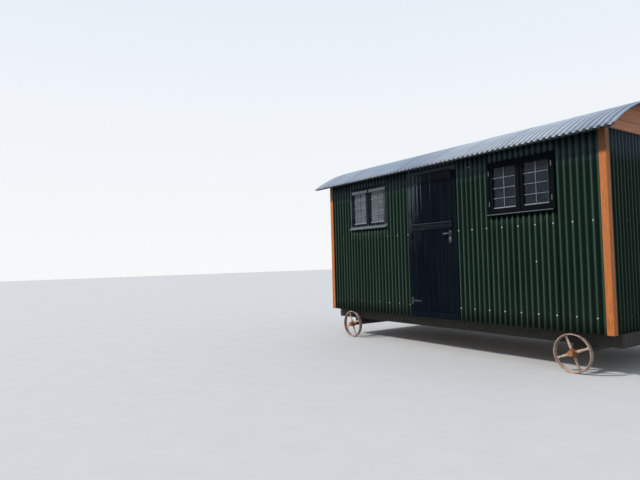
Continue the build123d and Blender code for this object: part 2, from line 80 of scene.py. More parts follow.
# Roof
EAVE_HEIGHT = 2.614
ROOF_EASE = 0.003
ROOF_END_GAP = 0.001
ROOF_ROWS = 32
ROOF_BOARD = 0.02
ROOF_BOARD_WIDTH = 0.1
roof_rise = ROOF_HIGH.z - EAVE_HEIGHT
ROOF_RADIUS = (ROOF_HIGH.y ** 2 + roof_rise ** 2) / (2 * roof_rise)
ROOF_CENTRE_Z = ROOF_HIGH.z - ROOF_RADIUS
ROOF_DEPTH = WAVE + SHEET + ROOF_BOARD

# Timber
BOARD_GAP = 0.0012
BOARD_ARRIS = 0.003
LINING_WIDTH = 0.1
FLOOR_WIDTH = 0.12
FLOOR_ARRIS = 0.0015
FLOOR_JOINTS = (0.3, 0.7)
GOLDEN_SHARE = 0.618
GABLE_JOINTS = (2.77, 2.93)
GABLE_OVER = 0.02
GABLE_SLOPE = 0.004
GABLE_COLUMNS = 60
GABLE_ARRIS = 0.0025

# Screws and bolts
WASHER = [(0.0095, 0.0), (0.0095, 0.001), (0.007, 0.0026), (0.003, 0.003)]
HEAD = [(0.0046, 0.0024), (0.005, 0.003), (0.005, 0.0064), (0.004, 0.0074)]
WASHER_SIDES = 14
HEXAGON = 6
SCREW_SEAT = WAVE + 1.6 * SHEET
SCREW_MARGIN = 0.012
SCREW_EVERY = 3
SCREW_ROWS = (0.632, 1.678)
LAP_SCREW_CREST = -10
LAP_SCREW_HEIGHT = 1.245
ROOF_SCREW_SEAT = WAVE + 1.4 * SHEET
ROOF_SCREW_MARGIN = 0.05
ROOF_SCREW_ROWS = (-1.17, -0.42, 0.42, 1.17)
ROOF_WASHER = [(radius, 0.3 * height) for radius, height in WASHER]
BOLT_WASHER = [(0.02, 0.0), (0.02, 0.0025)]
BOLT_HEAD = [(0.011, 0.0025), (0.011, 0.0105), (0.009, 0.012)]
BOLT_INSET = 0.05
BOLT_EDGE = 0.045

# Door leaves
DOOR_BOARD_WIDTH = 0.11
DOOR_BOARD = 0.02
LEDGE_HEIGHT = 0.11
LEDGE_MARGIN = 0.06
BRACE_WIDTH = 0.13
BRACE_MARGIN = 0.03
RAIL_HEIGHT = 0.107
RAIL_SLOPE = 0.005
RAIL_INSET = 0.005
KEYHOLE_RING = [(0.0045, 0.0), (0.011, 0.0), (0.0105, 0.0012), (0.0065, 0.002), (0.0045, 0.0018)]
KEYHOLE_PLACE = Vector((-0.022, -0.003, 0.045))
KEYHOLE_LOW = Vector((-0.0016, -0.0007, -0.014))
KEYHOLE_HIGH = Vector((0.0016, 0.0005, 0.004))

# Painted highlights along front edges, partly worn paint, as (inset from the ends, proud of the front,
# drop from the top)
RAIL_HIGHLIGHT = (0.004, 0.0004, 0.003)
SILL_HIGHLIGHT = (0.003, 0.0003, 0.002)
HIGHLIGHT_HEIGHT = 0.007
HIGHLIGHT_DEPTH = 0.001

# Windows
STILE = 0.045
MULLION = 0.018
CASEMENT_GAP = 0.002
BAR_WIDTH = 0.01
BAR_FRONT = 0.01
BAR_BACK = 0.006
BAR_STEP = 0.001
BAR_ROWS = 4
BEAD_HEIGHT = 0.014
BEAD_WIDTH = 0.009
SILL_OPENING = 0.015
SILL_LIP = 0.02
SILL_JOINT = 0.031
HINGE_HEIGHT = 0.062
HINGE_MARGIN = 0.105
HINGE_RADIUS = 0.0055
HINGE_FLAP = 0.016
HINGE_SETBACK = 0.001
KNUCKLE_PROUD = 0.003
STILE_FLAP = (0.0055, 0.008)
FRAME_FLAP = (-0.0018, 0.0004)

# Wheels, with the rim's profile as (depth under the tread, height) and the hub's as (radius, height)
RIM = [(0.0, 0.022), (0.003, 0.029), (0.011, 0.03), (0.015, 0.026), (0.014, 0.006), (0.022, 0.004)]
HUB = [(0.042, 0.012), (0.04, 0.026), (0.034, 0.034), (0.034, 0.052), (0.031, 0.055), (0.0205, 0.055)]
RIM_SIDES = 96
HUB_SIDES = 48
HUB_REACH = 0.06
SPOKES = 4
SPOKE_TURN = math.radians(22)
SPOKE_START = 0.038
SPOKE_RIM_DEPTH = 0.02
SPOKE_STEPS = 8
SPOKE_SIDES = 12
SPOKE_WIDTH = 0.019
SPOKE_TAPER = 0.006
SPOKE_FLARE = 0.85
SPOKE_DEPTH = 0.01
SPOKE_THINNING = 0.002

# Camera
CAMERA_PLACE = (5.2082, -6.8036, 1.315)
CAMERA_RIGHT = (0.56991, 0.82132, -0.02525)
CAMERA_DOWN = (-0.04754, 0.00228, -0.99887)
CAMERA_FOCAL_PIXELS = 523.2
PHOTO_WIDTH = 640
SENSOR = 36.0
FAR_CLIP = 200

# Light and floor
SUN_DIRECTION = (0.45, 0.64, -0.64)
SUN_STRENGTH = 2.5
SKY_STRENGTH = 0.62
FLOOR_REACH = 60.0


# Materials
ISLAND_SHIFT = (31.0, 17.0, 23.0)


def tree_of(name):
    """A new material's node tree with its shader."""
    material = bpy.data.materials.new(name)
    material.use_nodes = True
    tree = material.node_tree
    return material, tree, tree.nodes["Principled BSDF"]


def feed(tree, socket, value):
    """Links a socket to an output, or sets it to a number, a vector or a colour."""
    if isinstance(value, bpy.types.NodeSocket):
        tree.links.new(value, socket)
    elif socket.type == "RGBA":
        socket.default_value = (*value, 1)
    else:
        socket.default_value = value


def feed_all(tree, sockets, values):
    for socket, value in zip(sockets, values):
        feed(tree, socket, value)


def fill(tree, node, **inputs):
    """Feeds a node's inputs by name, with _ for each space."""
    for key, value in inputs.items():
        feed(tree, node.inputs[key.replace("_", " ")], value)


def add(tree, kind, settings=None, **inputs):
    """A shader node with its settings and inputs."""
    node = tree.nodes.new("ShaderNode" + kind)
    for key, value in (settings or {}).items():
        setattr(node, key, value)
    fill(tree, node, **inputs)
    return node


def place(tree, scale=(1, 1, 1)):
    """Coordinates in the frame, scaled."""
    where = add(tree, "TexCoord").outputs["Object"]
    return add(tree, "Mapping", Vector=where, Scale=scale).outputs[0]


def stretched(grain, across, along):
    """A scale with one value along the grain and another across it."""
    return [along if axis == grain else across for axis in "XYZ"]


def noise_of(tree, vector, scale, detail=4.0, roughness=0.55, distortion=0.0):
    node = add(
        tree, "TexNoise", Vector=vector, Scale=scale, Detail=detail,
        Roughness=roughness, Distortion=distortion,
    )
    return node.outputs["Fac"]


def ramp(tree, factor, *stops):
    """A colour ramp with stops of (position, colour or grey)."""
    node = add(tree, "ValToRGB", Fac=factor)
    elements = node.color_ramp.elements
    while len(elements) < len(stops):
        elements.new(0.5)
    for element, (position, colour) in zip(elements, stops):
        element.position = position
        grey = isinstance(colour, (int, float))
        element.color = (colour, colour, colour, 1) if grey else (*colour, 1)
    return node.outputs["Color"]


def blend(tree, factor, a, b, kind="MIX"):
    """Two colours mixed."""
    node = add(tree, "Mix", {"data_type": "RGBA", "blend_type": kind})
    feed_all(tree, (node.inputs[0], node.inputs[6], node.inputs[7]), (factor, a, b))
    return node.outputs[2]


def maths(tree, kind, *values, clamp=False):
    node = add(tree, "Math", {"operation": kind, "use_clamp": clamp})
    feed_all(tree, node.inputs, values)
    return node.outputs[0]


def times(tree, a, b):
    return maths(tree, "MULTIPLY", a, b)


def bump(tree, height, distance, strength=1.0):
    """A normal for relief."""
    return add(tree, "Bump", Height=height, Distance=distance, Strength=strength).outputs["Normal"]


def fade_along(tree, axis, start, end):
    """0 at start and 1 at end, by the place along one axis of the frame."""
    where = add(tree, "TexCoord").outputs["Object"]
    part = add(tree, "SeparateXYZ", Vector=where).outputs[axis]
    return add(tree, "MapRange", Value=part, From_Min=start, From_Max=end).outputs[0]


def weight_at(tree, places, weight=0.0):
    """The largest of some weights, each a product of fades along axes."""
    for fades in places:
        part = fade_along(tree, *fades[0])
        for fade in fades[1:]:
            part = times(tree, part, fade_along(tree, *fade))
        weight = maths(tree, "MAXIMUM", part, weight)
    return weight


def island_of(tree):
    """A random value for each board or other loose part."""
    return add(tree, "NewGeometry").outputs["Random Per Island"]


def crest_of(tree):
    """1 on a corrugated sheet's crests and 0 in its troughs."""
    return add(tree, "Attribute", {"attribute_name": "crest"}).outputs["Fac"]


def wood(name, light, dark, grain, finish=0.55, relief=0.0006, weather=None, painted_shade=()):
    """Timber with its grain along one axis, each board a little different, and darker as painted shade at
    given places.
    """
    material, tree, shader = tree_of(name)
    island = island_of(tree)
    shift = add(tree, "VectorMath", {"operation": "SCALE"}, Vector=ISLAND_SHIFT, Scale=island)
    moved = add(tree, "VectorMath", {"operation": "ADD"})
    feed_all(tree, moved.inputs, (place(tree, stretched(grain, 9.0, 0.7)), shift.outputs[0]))
    rings = noise_of(tree, moved.outputs[0], 2.2, 3.0, 0.5, 1.2)
    rings = maths(tree, "SINE", times(tree, rings, 55.0))
    rings = maths(tree, "MULTIPLY_ADD", rings, 0.5, 0.5)
    fibre = noise_of(tree, moved.outputs[0], 14.0, 8.0, 0.7)
    figure = blend(tree, 0.55, rings, fibre)
    base = ramp(tree, figure, (0.25, dark), (0.75, light))
    base = blend(tree, 1.0, base, ramp(tree, island, (0.0, 0.78), (1.0, 1.12)), "MULTIPLY")
    if weather:
        patches = ramp(tree, noise_of(tree, place(tree), 2.4, 5.0, 0.6), (0.42, 0.0), (0.68, 1.0))
        base = blend(tree, times(tree, patches, 0.45), base, weather)
    # Painted shade: darker and bluer at the given places, such as the eave's shadow on the post tops.
    if painted_shade:
        base = blend(tree, weight_at(tree, painted_shade), base, (0.42, 0.5, 0.72), "MULTIPLY")
    rough = ramp(tree, fibre, (0.3, finish - 0.08), (0.7, finish + 0.12))
    fill(tree, shader, Base_Color=base, Roughness=rough, Normal=bump(tree, figure, relief))
    return material


def painted_wood(name, colour, worn, grain, rubbed=0.35, faded_and_lit=(), bleached_and_lit=(), chalk=None):
    """Old dark paint: brush marks along the grain, chalky streaks at given places and chalk at others,
    partly worn-out paint and partly painted light.
    """
    material, tree, shader = tree_of(name)
    brush = noise_of(tree, place(tree, stretched(grain, 60.0, 1.6)), 1.0, 6.0, 0.65)
    dust = noise_of(tree, place(tree, (3.0, 3.0, 1.2)), 1.6, 6.0, 0.62, 0.4)
    base = ramp(tree, dust, (0.3, colour), (0.8, worn))
    base = blend(tree, 1.0, base, ramp(tree, island_of(tree), (0.0, 0.7), (1.0, 1.0)), "MULTIPLY")
    streak = ramp(tree, brush, (0.52, 0.0), (0.76, 1.0))
    chalk = chalk or [min(1.0, 2.4 * part + 0.02) for part in worn]
    base = blend(tree, times(tree, streak, weight_at(tree, faded_and_lit, rubbed)), base, chalk)
    if bleached_and_lit:
        powder = ramp(tree, dust, (0.3, [part * 0.7 for part in chalk]), (0.8, chalk))
        base = blend(tree, weight_at(tree, bleached_and_lit), base, powder)
    rough = ramp(tree, dust, (0.25, 0.42), (0.75, 0.62))
    fill(tree, shader, Base_Color=base, Roughness=rough, Specular_IOR_Level=0.02)
    fill(tree, shader, Normal=bump(tree, brush, 0.0004))
    return material


def green_iron():
    """Dark green painted iron: troughs darker as grime and painted shade, crests lighter as chalky wear
    and painted sheen, streaks that run down, and painted sky light under the eave.
    """
    material, tree, shader = tree_of("green_iron")
    crest = crest_of(tree)
    streak = noise_of(tree, place(tree, (14.0, 14.0, 0.8)), 1.0, 6.0, 0.6)
    patch = noise_of(tree, place(tree), 1.7, 5.0, 0.6, 0.3)
    speck = noise_of(tree, place(tree), 240.0, 3.0, 0.6)
    # Troughs darker and crests lighter: partly grime and worn paint, partly painted shade in the troughs
    # and painted sheen on the crests.
    base = ramp(
        tree, crest, (0.0, (0.0012, 0.0085, 0.0045)), (0.45, (0.006, 0.0215, 0.0132)),
        (0.8, (0.0125, 0.036, 0.023)), (1.0, (0.031, 0.06, 0.045)),
    )
    base = blend(tree, 1.0, base, ramp(tree, patch, (0.3, 0.68), (0.75, 1.0)), "MULTIPLY")
    worn = ramp(tree, crest, (0.78, 0.0), (1.0, 1.0))
    chalk = times(tree, worn, ramp(tree, streak, (0.35, 0.2), (0.75, 0.8)))
    base = blend(tree, chalk, base, (0.085, 0.126, 0.105))
    # Painted light: under the eave the iron is made paler and bluer, most of all on the crests, as sky
    # light in the eave's shadow.
    skylight_under_eave = fade_along(tree, *UNDER_EAVE)
    skylight_on_crests = times(tree, times(tree, skylight_under_eave, crest), 0.7)
    base = blend(tree, skylight_on_crests, base, (0.06, 0.088, 0.106))
    base = blend(tree, skylight_under_eave, base, (0.0075, 0.0105, 0.0155), "ADD")
    mud = ramp(tree, streak, (0.35, 0.0), (0.75, 0.4))
    splashed = times(tree, fade_along(tree, *SPLASHED), mud)
    base = blend(tree, splashed, base, (0.04, 0.04, 0.028))
    rough = ramp(tree, patch, (0.25, 0.4), (0.8, 0.56))
    fill(tree, shader, Base_Color=base, Roughness=rough, Specular_IOR_Level=0.06)
    fill(tree, shader, Normal=bump(tree, speck, 0.0001, 0.5))
    return material


def galvanised_iron():
    """Zinc with its crystals, troughs darker as grime and painted shade, paler sheets along one stretch,
    painted shade in the troughs at the eaves, and the underside painted dark as shade.
    """
    material, tree, shader = tree_of("galvanised_iron")
    crest = crest_of(tree)
    crystals = add(tree, "TexVoronoi", Vector=place(tree), Scale=85.0).outputs["Color"]
    crystal = add(tree, "RGBToBW", Color=crystals).outputs[0]
    patch = noise_of(tree, place(tree), 1.4, 6.0, 0.62, 0.3)
    streak = noise_of(tree, place(tree, (16.0, 1.3, 1.3)), 1.0, 6.0, 0.6)
    base = ramp(tree, patch, (0.25, (0.35, 0.42, 0.52)), (0.75, (0.52, 0.6, 0.71)))
    # Paler zinc on the sheets from about X -0.1 to 2.3.
    paler_zinc = ramp(tree, patch, (0.25, (0.54, 0.6, 0.675)), (0.75, (0.72, 0.8, 0.9)))
    base = blend(tree, weight_at(tree, PALER_SHEETS), base, paler_zinc)
    base = blend(tree, 0.22, base, ramp(tree, crystal, (0.0, 0.35), (1.0, 0.85)), "OVERLAY")
    # Troughs darker than crests: partly grime, partly painted shade.
    base = blend(tree, 1.0, base, ramp(tree, crest, (0.0, 0.34), (0.5, 0.72), (1.0, 1.0)), "MULTIPLY")
    grime = ramp(tree, streak, (0.52, 0.0), (0.82, 0.45))
    base = blend(tree, grime, base, (0.2, 0.2, 0.19))
    # Painted shade: the troughs at the eaves are made nearly black, as the shadow under the sheet's edge.
    troughs = ramp(tree, crest, (0.35, 1.0), (0.85, 0.35))
    painted_shade = times(tree, weight_at(tree, EAVES), troughs)
    base = blend(tree, painted_shade, base, (0.04, 0.045, 0.055), "MULTIPLY")
    # Painted shade: faces that turn downward take a dark colour, as the shade under the sheet.
    normal = add(tree, "NewGeometry").outputs["True Normal"]
    upward = add(tree, "SeparateXYZ", Vector=normal).outputs["Z"]
    upper = ramp(tree, maths(tree, "ADD", upward, 0.5), (0.46, 0.0), (0.49, 1.0))
    base = blend(tree, upper, (0.022, 0.03, 0.04), base)
    dull = maths(tree, "MULTIPLY_ADD", crystal, 0.14, 0.48)
    dull = maths(tree, "ADD", dull, times(tree, grime, 0.3), clamp=True)
    metal = times(tree, upper, 0.45)
    relief = bump(tree, patch, 0.0015, 0.3)
    fill(tree, shader, Base_Color=base, Metallic=metal, Roughness=dull, Normal=relief)
    return material


def rusted_iron(name, deep, brown, pale, bloom_colour):
    """Cast iron rusted all over, with darker pits and patches of bloom."""
    material, tree, shader = tree_of(name)
    bloom = noise_of(tree, place(tree), 9.0, 8.0, 0.65, 0.6)
    pits = noise_of(tree, place(tree), 70.0, 6.0, 0.7)
    base = ramp(tree, bloom, (0.28, deep), (0.46, brown), (0.6, pale), (0.78, bloom_colour))
    base = blend(tree, ramp(tree, pits, (0.36, 0.75), (0.5, 0.0)), base, [part * 0.5 for part in deep])
    rough = ramp(tree, bloom, (0.3, 0.62), (0.8, 0.92))
    relief = bump(tree, pits, 0.0008, 0.8)
    fill(tree, shader, Base_Color=base, Roughness=rough, Metallic=0.1, Normal=relief)
    return material


def plain_steel(name, light, dark, rough, metallic, scale=30.0, rubbed=(), worn=None):
    """Steel with fine scratches and a little tarnish, and a second colour at given places: rust on the
    axle ends, darker screws toward the left, painted glints on the handle.
    """
    material, tree, shader = tree_of(name)
    tarnish = noise_of(tree, place(tree), scale, 6.0, 0.65)
    scratch = noise_of(tree, place(tree, (1.0, 1.0, 14.0)), 110.0, 3.0, 0.6)
    base = ramp(tree, tarnish, (0.3, dark), (0.7, light))
    if rubbed:
        base = blend(tree, weight_at(tree, rubbed), base, worn)
    dull = maths(tree, "MULTIPLY_ADD", scratch, 0.25, rough - 0.1)
    relief = bump(tree, scratch, 0.00015, 0.5)
    fill(tree, shader, Base_Color=base, Roughness=dull, Metallic=metallic, Normal=relief)
    return material


def window_glass(name, clear, dusty, thin, thick):
    """Glass with dust on it, from thin to thick."""
    material, tree, shader = tree_of(name)
    dust = noise_of(tree, place(tree, (1.0, 1.0, 2.5)), 5.0, 6.0, 0.6)
    fill(
        tree, shader, Base_Color=ramp(tree, dust, (0.35, clear), (0.8, dusty)),
        Roughness=ramp(tree, dust, (0.3, 0.05), (0.8, 0.16)),
        Alpha=ramp(tree, dust, (0.3, thin), (0.8, thick)), IOR=1.52, Specular_IOR_Level=0.25,
    )
    return material


def strap_steel():
    """Black paint on the hinges, worn to grey steel in places."""
    material, tree, shader = tree_of("hinge_steel")
    wear = noise_of(tree, place(tree, (1.0, 1.0, 3.0)), 26.0, 6.0, 0.65)
    base = ramp(tree, wear, (0.35, (0.003, 0.006, 0.01)), (0.75, (0.008, 0.012, 0.017)))
    patches = ramp(tree, wear, (0.35, 0.35), (0.6, 1.0))
    worn = times(tree, weight_at(tree, WORN_HINGES), patches)
    base = blend(tree, worn, base, (0.06, 0.08, 0.09))
    rough = ramp(tree, wear, (0.3, 0.42), (0.7, 0.6))
    fill(tree, shader, Base_Color=base, Roughness=rough, Specular_IOR_Level=0.05)
    return material


def chassis_wood(grain):
    """Rough timber made very dark as painted shade under the hut, greyed in places."""
    # Painted shade: the chassis colour stands for the shade under the hut.
    return wood(
        f"chassis_wood_{grain.lower()}", (0.042, 0.04, 0.029), (0.017, 0.016, 0.012), grain, 0.8, 0.0012,
        (0.05, 0.052, 0.042),
    )


# Weathered places and places of painted light or shade, as fades of (axis, start, end). A list of them
# multiplies.
def both_sides(start, end):
    """Places near both long sides, fading outward."""
    return [[("Y", side * start, side * end)] for side in (-1, 1)]


UNDER_EAVE = ("Z", 2.3, 2.46)
SPLASHED = ("Z", 0.95, 0.45)
# Painted shadow of the eave on the tops of the posts.
POST_TOP_SHADOW = [[("Z", 2.37, 2.43)]]
PALER_SHEETS = [[("X", -0.1, 0.4), ("X", 2.3, 2.0)]]
EAVES = both_sides(ROOF_HIGH.y - 0.085, ROOF_HIGH.y - 0.05)
AXLE_ENDS = both_sides(HALF_WIDTH - 0.02, HALF_WIDTH - 0.008)
LEFT_SCREWS = [[("X", -0.3, -1.3)]]
WORN_HINGES = [[("Z", 1.0, 0.8)], [("Z", 1.75, 2.3)]]
# Painted glints: the handle's lever tip and plate edges take a lighter colour for highlights.
HANDLE_GRIP_GLINT = [("X", 0.235, 0.25), ("X", 0.305, 0.29)]
HANDLE_PLATE_EDGE_GLINT = [("X", 0.322, 0.332), ("Z", 1.625, 1.64), ("Z", 1.7, 1.68)]
HANDLE_PLATE_FOOT_GLINT = [("Z", 1.612, 1.6), ("Z", 1.545, 1.56)]
DOOR_OUTSIDE = ("Y", 0.015 - HALF_WIDTH, 0.006 - HALF_WIDTH)
# Paler streaks on the door's upper left boards: partly chalky, worn-out paint, partly painted light and
# highlights along board joints.
DOOR_FADED_AND_LIT = [[DOOR_OUTSIDE, ("X", -0.12, -0.36), ("Z", 1.3, 2.1)]]
# Painted light: the top of the door, where the eave's shadow falls, is lightened toward the chalk colour.
DOOR_LIT_TOP = [DOOR_OUTSIDE, ("Z", 2.405, 2.435), ("Z", 1.9, 5.5)]
DOOR_CHALKY_AND_LIT_STREAKS = [
    [DOOR_OUTSIDE, ("X", -0.396, -0.38), ("X", -0.322, -0.345), ("Z", 1.8, 2.7)],
    [DOOR_OUTSIDE, ("X", -0.305, -0.292), ("X", -0.268, -0.28), ("Z", 1.9, 2.3)],
    [DOOR_OUTSIDE, ("X", -0.222, -0.214), ("X", -0.2, -0.208), ("Z", 2.0, 2.4)],
    [DOOR_OUTSIDE, ("X", -0.04, -0.032), ("X", -0.02, -0.028), ("Z", 2.1, 2.7)],
]
# The left jamb and the head are paler: partly chalky, worn-out paint, partly painted light.
JAMB_FADED_AND_LIT = [[("X", -0.38, -0.42), ("Z", 1.2, 2.1)], [("Z", 2.51, 2.55)]]
JAMB_CHALKY_AND_LIT = [
    [("X", -0.4, -0.425), ("X", -0.49, -0.46), ("Z", 1.5, 2.4)],
    [("Z", 2.522, 2.532), ("Z", 2.6, 2.58)],
]
LEFT_SILL = [("Z", 1.895, 1.875)]
LEFT_FRAME_SIDE = [("X", -1.842, -1.846), ("Z", -0.5, 5.5)]
LEFT_CASEMENT_TOP = [("Z", 2.425, 2.435)]
LEFT_CASEMENT_SIDE = [("X", -1.04, -1.03), ("Z", 1.4, 7.0)]
RAIL_FADED = [[("X", 0.1, -0.3)]]

# The materials themselves
IRON = green_iron()
ROOF_IRON = galvanised_iron()
POST_WOOD = wood("post_wood", (0.64, 0.205, 0.037), (0.45, 0.125, 0.021), "Z", 0.6, 0.0004, painted_shade=POST_TOP_SHADOW)
# The gable boards are paler: partly their own lighter wood, partly painted light against the shade at this
# end.
GABLE_WOOD = wood("gable_wood", (0.61, 0.252, 0.124), (0.47, 0.183, 0.084), "Y", 0.6, 0.0005)
CHASSIS_WOOD_X = chassis_wood("X")
CHASSIS_WOOD_Y = chassis_wood("Y")
LINING_WOOD = wood("lining_wood", (0.66, 0.47, 0.28), (0.48, 0.31, 0.16), "Z", 0.5, 0.0004)
CEILING_WOOD = wood("ceiling_wood", (0.6, 0.42, 0.25), (0.42, 0.27, 0.14), "X", 0.55, 0.0004)
# Painted shade: the boards under the overhang take a dark bluish colour for the shade there.
SOFFIT_SHADE_WOOD = wood("soffit_painted_shade", (0.034, 0.04, 0.048), (0.016, 0.02, 0.026), "X", 0.7, 0.0005)
FLOOR_WOOD = wood("floor_wood", (0.5, 0.35, 0.21), (0.33, 0.21, 0.12), "X", 0.6, 0.0008, (0.3, 0.25, 0.19))
DOOR_PAINT = painted_wood(
    "door_paint", (0.0016, 0.0046, 0.0084), (0.005, 0.0092, 0.0143), "Z", 0.08,
    DOOR_FADED_AND_LIT, [DOOR_LIT_TOP, *DOOR_CHALKY_AND_LIT_STREAKS], (0.112, 0.142, 0.172),
)
FRAME_PAINT = painted_wood("frame_paint", (0.0028, 0.006, 0.009), (0.008, 0.0122, 0.0165), "Z", 0.12)
JAMB_PAINT = painted_wood(
    "jamb_paint", (0.002, 0.0052, 0.0098), (0.007, 0.0115, 0.0175), "Z", 0.06,
    JAMB_FADED_AND_LIT, JAMB_CHALKY_AND_LIT, (0.08, 0.104, 0.128),
)
FADED_PAINT = painted_wood(
    "faded_paint", (0.012, 0.018, 0.025), (0.03, 0.038, 0.048), "X", 0.45,
    bleached_and_lit=[LEFT_SILL, LEFT_FRAME_SIDE], chalk=(0.23, 0.255, 0.285),
)
DULL_PAINT = painted_wood(
    "dull_paint", (0.0065, 0.0115, 0.018), (0.015, 0.023, 0.032), "Z", 0.3,
    bleached_and_lit=[LEFT_CASEMENT_TOP, LEFT_CASEMENT_SIDE], chalk=(0.42, 0.46, 0.51),
)
RAIL_PAINT = painted_wood(
    "rail_paint", (0.004, 0.0075, 0.012), (0.015, 0.02, 0.026), "X", 0.5, RAIL_FADED,
    chalk=(0.066, 0.082, 0.098),
)
# Painted highlights, partly worn paint, for the rail's top edge and the sill's front edge.
EDGE_HIGHLIGHT_PAINT = painted_wood("edge_highlight_paint", (0.035, 0.045, 0.055), (0.075, 0.088, 0.102), "X", 0.4)
SILL_HIGHLIGHT_PAINT = painted_wood("sill_highlight_paint", (0.14, 0.155, 0.17), (0.26, 0.28, 0.3), "X", 0.4)
LIT_BEAD_PAINT = painted_wood("bead_painted_light", (0.3, 0.32, 0.35), (0.46, 0.48, 0.51), "X", 0.4)
BAR_PAINT = painted_wood("bar_paint", (0.16, 0.18, 0.2), (0.29, 0.31, 0.335), "Z", 0.3)
PALE_BAR_PAINT = painted_wood("pale_bar_paint", (0.2, 0.22, 0.24), (0.32, 0.34, 0.36), "Z", 0.3)
GLASS = window_glass("window_glass", (0.008, 0.017, 0.029), (0.028, 0.042, 0.058), 0.55, 0.72)
# The left window's glass is paler: partly dust, partly painted reflection of the sky.
DUSTY_REFLECTING_GLASS = window_glass("glass_dust_and_reflection", (0.1, 0.125, 0.146), (0.21, 0.245, 0.275), 0.72, 0.88)
RUST = rusted_iron(
    "rusted_iron", (0.27, 0.165, 0.13), (0.5, 0.36, 0.29), (0.63, 0.5, 0.43), (0.54, 0.32, 0.2)
)
HUB_RUST = rusted_iron(
    "hub_rust", (0.14, 0.06, 0.03), (0.33, 0.145, 0.06), (0.42, 0.2, 0.085), (0.48, 0.2, 0.06)
)
AXLE_STEEL = plain_steel(
    "axle_steel", (0.13, 0.11, 0.1), (0.055, 0.048, 0.045), 0.6, 0.3,
    rubbed=AXLE_ENDS, worn=(0.4, 0.17, 0.07),
)
HINGE_STEEL = strap_steel()
# Dark steel with painted glints at the given places.
HANDLE_STEEL = plain_steel(
    "handle_steel", (0.03, 0.04, 0.05), (0.01, 0.014, 0.018), 0.45, 0.45, 22.0,
    [HANDLE_GRIP_GLINT, HANDLE_PLATE_EDGE_GLINT, HANDLE_PLATE_FOOT_GLINT], (0.1, 0.115, 0.13),
)
KNUCKLE_STEEL = plain_steel("knuckle_steel", (0.24, 0.25, 0.255), (0.13, 0.135, 0.14), 0.5, 0.4)
DARK_KNUCKLE = plain_steel("knuckle_paint", (0.06, 0.068, 0.074), (0.03, 0.036, 0.042), 0.5, 0.2)
HOOK_STEEL = plain_steel("hook_steel", (0.16, 0.17, 0.18), (0.07, 0.075, 0.08), 0.5, 0.6)
SCREW_STEEL = plain_steel(
    "screw_steel", (0.62, 0.64, 0.64), (0.4, 0.41, 0.41), 0.45, 0.5,
    rubbed=LEFT_SCREWS, worn=(0.13, 0.17, 0.17),
)
SCREW_PAINT = plain_steel("screw_paint", (0.024, 0.055, 0.042), (0.012, 0.03, 0.022), 0.45, 0.0)
KEYHOLE_SHADE = plain_steel("keyhole_painted_shade", (0.006, 0.006, 0.006), (0.003, 0.003, 0.003), 0.7, 0.0)


# Meshes
def new_object(name, data):
    made = bpy.data.objects.new(name, data)
    bpy.context.scene.collection.objects.link(made)
    return made


def make_piece(name, mesh, material, body="hut", replaced=(), smooth=False):
    """An object from a bmesh that rides on a body."""
    data = bpy.data.meshes.new(name)
    bmesh.ops.recalc_face_normals(mesh, faces=mesh.faces)
    mesh.to_mesh(data)
    mesh.free()
    piece = new_object(name, data)
    data.materials.append(material)
    data.polygons.foreach_set("use_smooth", [smooth] * len(data.polygons))
    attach(piece, body)
    if replaced:
        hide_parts(*replaced)
    return piece


def bevel(piece, width, segments=2):
    """Rounds a piece's arrises."""
    modifier = piece.modifiers.new("arris", "BEVEL")
    modifier.width = width
    modifier.segments = segments
    modifier.limit_method = "ANGLE"
    modifier.angle_limit = math.radians(35)
    modifier.harden_normals = True
    piece.data.polygons.foreach_set("use_smooth", [True] * len(piece.data.polygons))


def thicken(piece):
    """Gives the iron its thickness, on both sides of its face."""
    modifier = piece.modifiers.new("thickness", "SOLIDIFY")
    modifier.thickness = SHEET_DRAWN
    modifier.offset = 0


def add_box(mesh, low, high):
    """A block between two corners."""
    corners = [
        mesh.verts.new((x, y, z))
        for z in (low[2], high[2]) for y in (low[1], high[1]) for x in (low[0], high[0])
    ]
    for face in ((0, 1, 3, 2), (4, 6, 7, 5), (0, 4, 5, 1), (2, 3, 7, 6), (0, 2, 6, 4), (1, 5, 7, 3)):
        mesh.faces.new([corners[k] for k in face])


def add_skin(mesh, rings, closed=False):
    """Faces between rings of points. The ends are capped, or joined where it is closed."""
    pairs = list(zip(rings, rings[1:]))
    if closed:
        pairs.append((rings[-1], rings[0]))
    for lower, upper in pairs:
        for k in range(len(lower)):
            after = (k + 1) % len(lower)
            mesh.faces.new((lower[k], lower[after], upper[after], upper[k]))
    if not closed:
        mesh.faces.new(rings[0][::-1])
        mesh.faces.new(rings[-1])


def add_prism(mesh, outline, shift):
    """A flat outline of points, made solid by a shift."""
    near = [mesh.verts.new(point) for point in outline]
    far = [mesh.verts.new(Vector(point) + Vector(shift)) for point in outline]
    mesh.faces.new(near)
    mesh.faces.new(far[::-1])
    for k in range(len(near)):
        after = (k + 1) % len(near)
        mesh.faces.new((near[after], near[k], far[k], far[after]))


def add_lathe(mesh, profile, sides, matrix, closed=False):
    """A profile of (radius, height) turned about Z and set in place by a matrix."""
    rings = []
    for radius, height in profile:
        turns = [math.tau * k / sides for k in range(sides)]
        points = [Vector((radius * math.cos(turn), radius * math.sin(turn), height)) for turn in turns]
        rings.append([mesh.verts.new(matrix @ point) for point in points])
    add_skin(mesh, rings, closed)


def facing(point, outward):
    """A matrix that stands local Z along outward at a point."""
    return Matrix.Translation(point) @ Vector(outward).to_track_quat("Z", "Y").to_matrix().to_4x4()


def arch_z(y, depth):
    """Height of the roof's arc at y, depth under the crests."""
    return ROOF_CENTRE_Z + math.sqrt((ROOF_RADIUS - depth) ** 2 - y * y)


# Corrugated iron
def wave(run, crest):
    """1 on the crests and 0 in the troughs, counted from one crest."""
    return 0.5 + 0.5 * math.cos(math.tau * (run - crest) / PITCH)


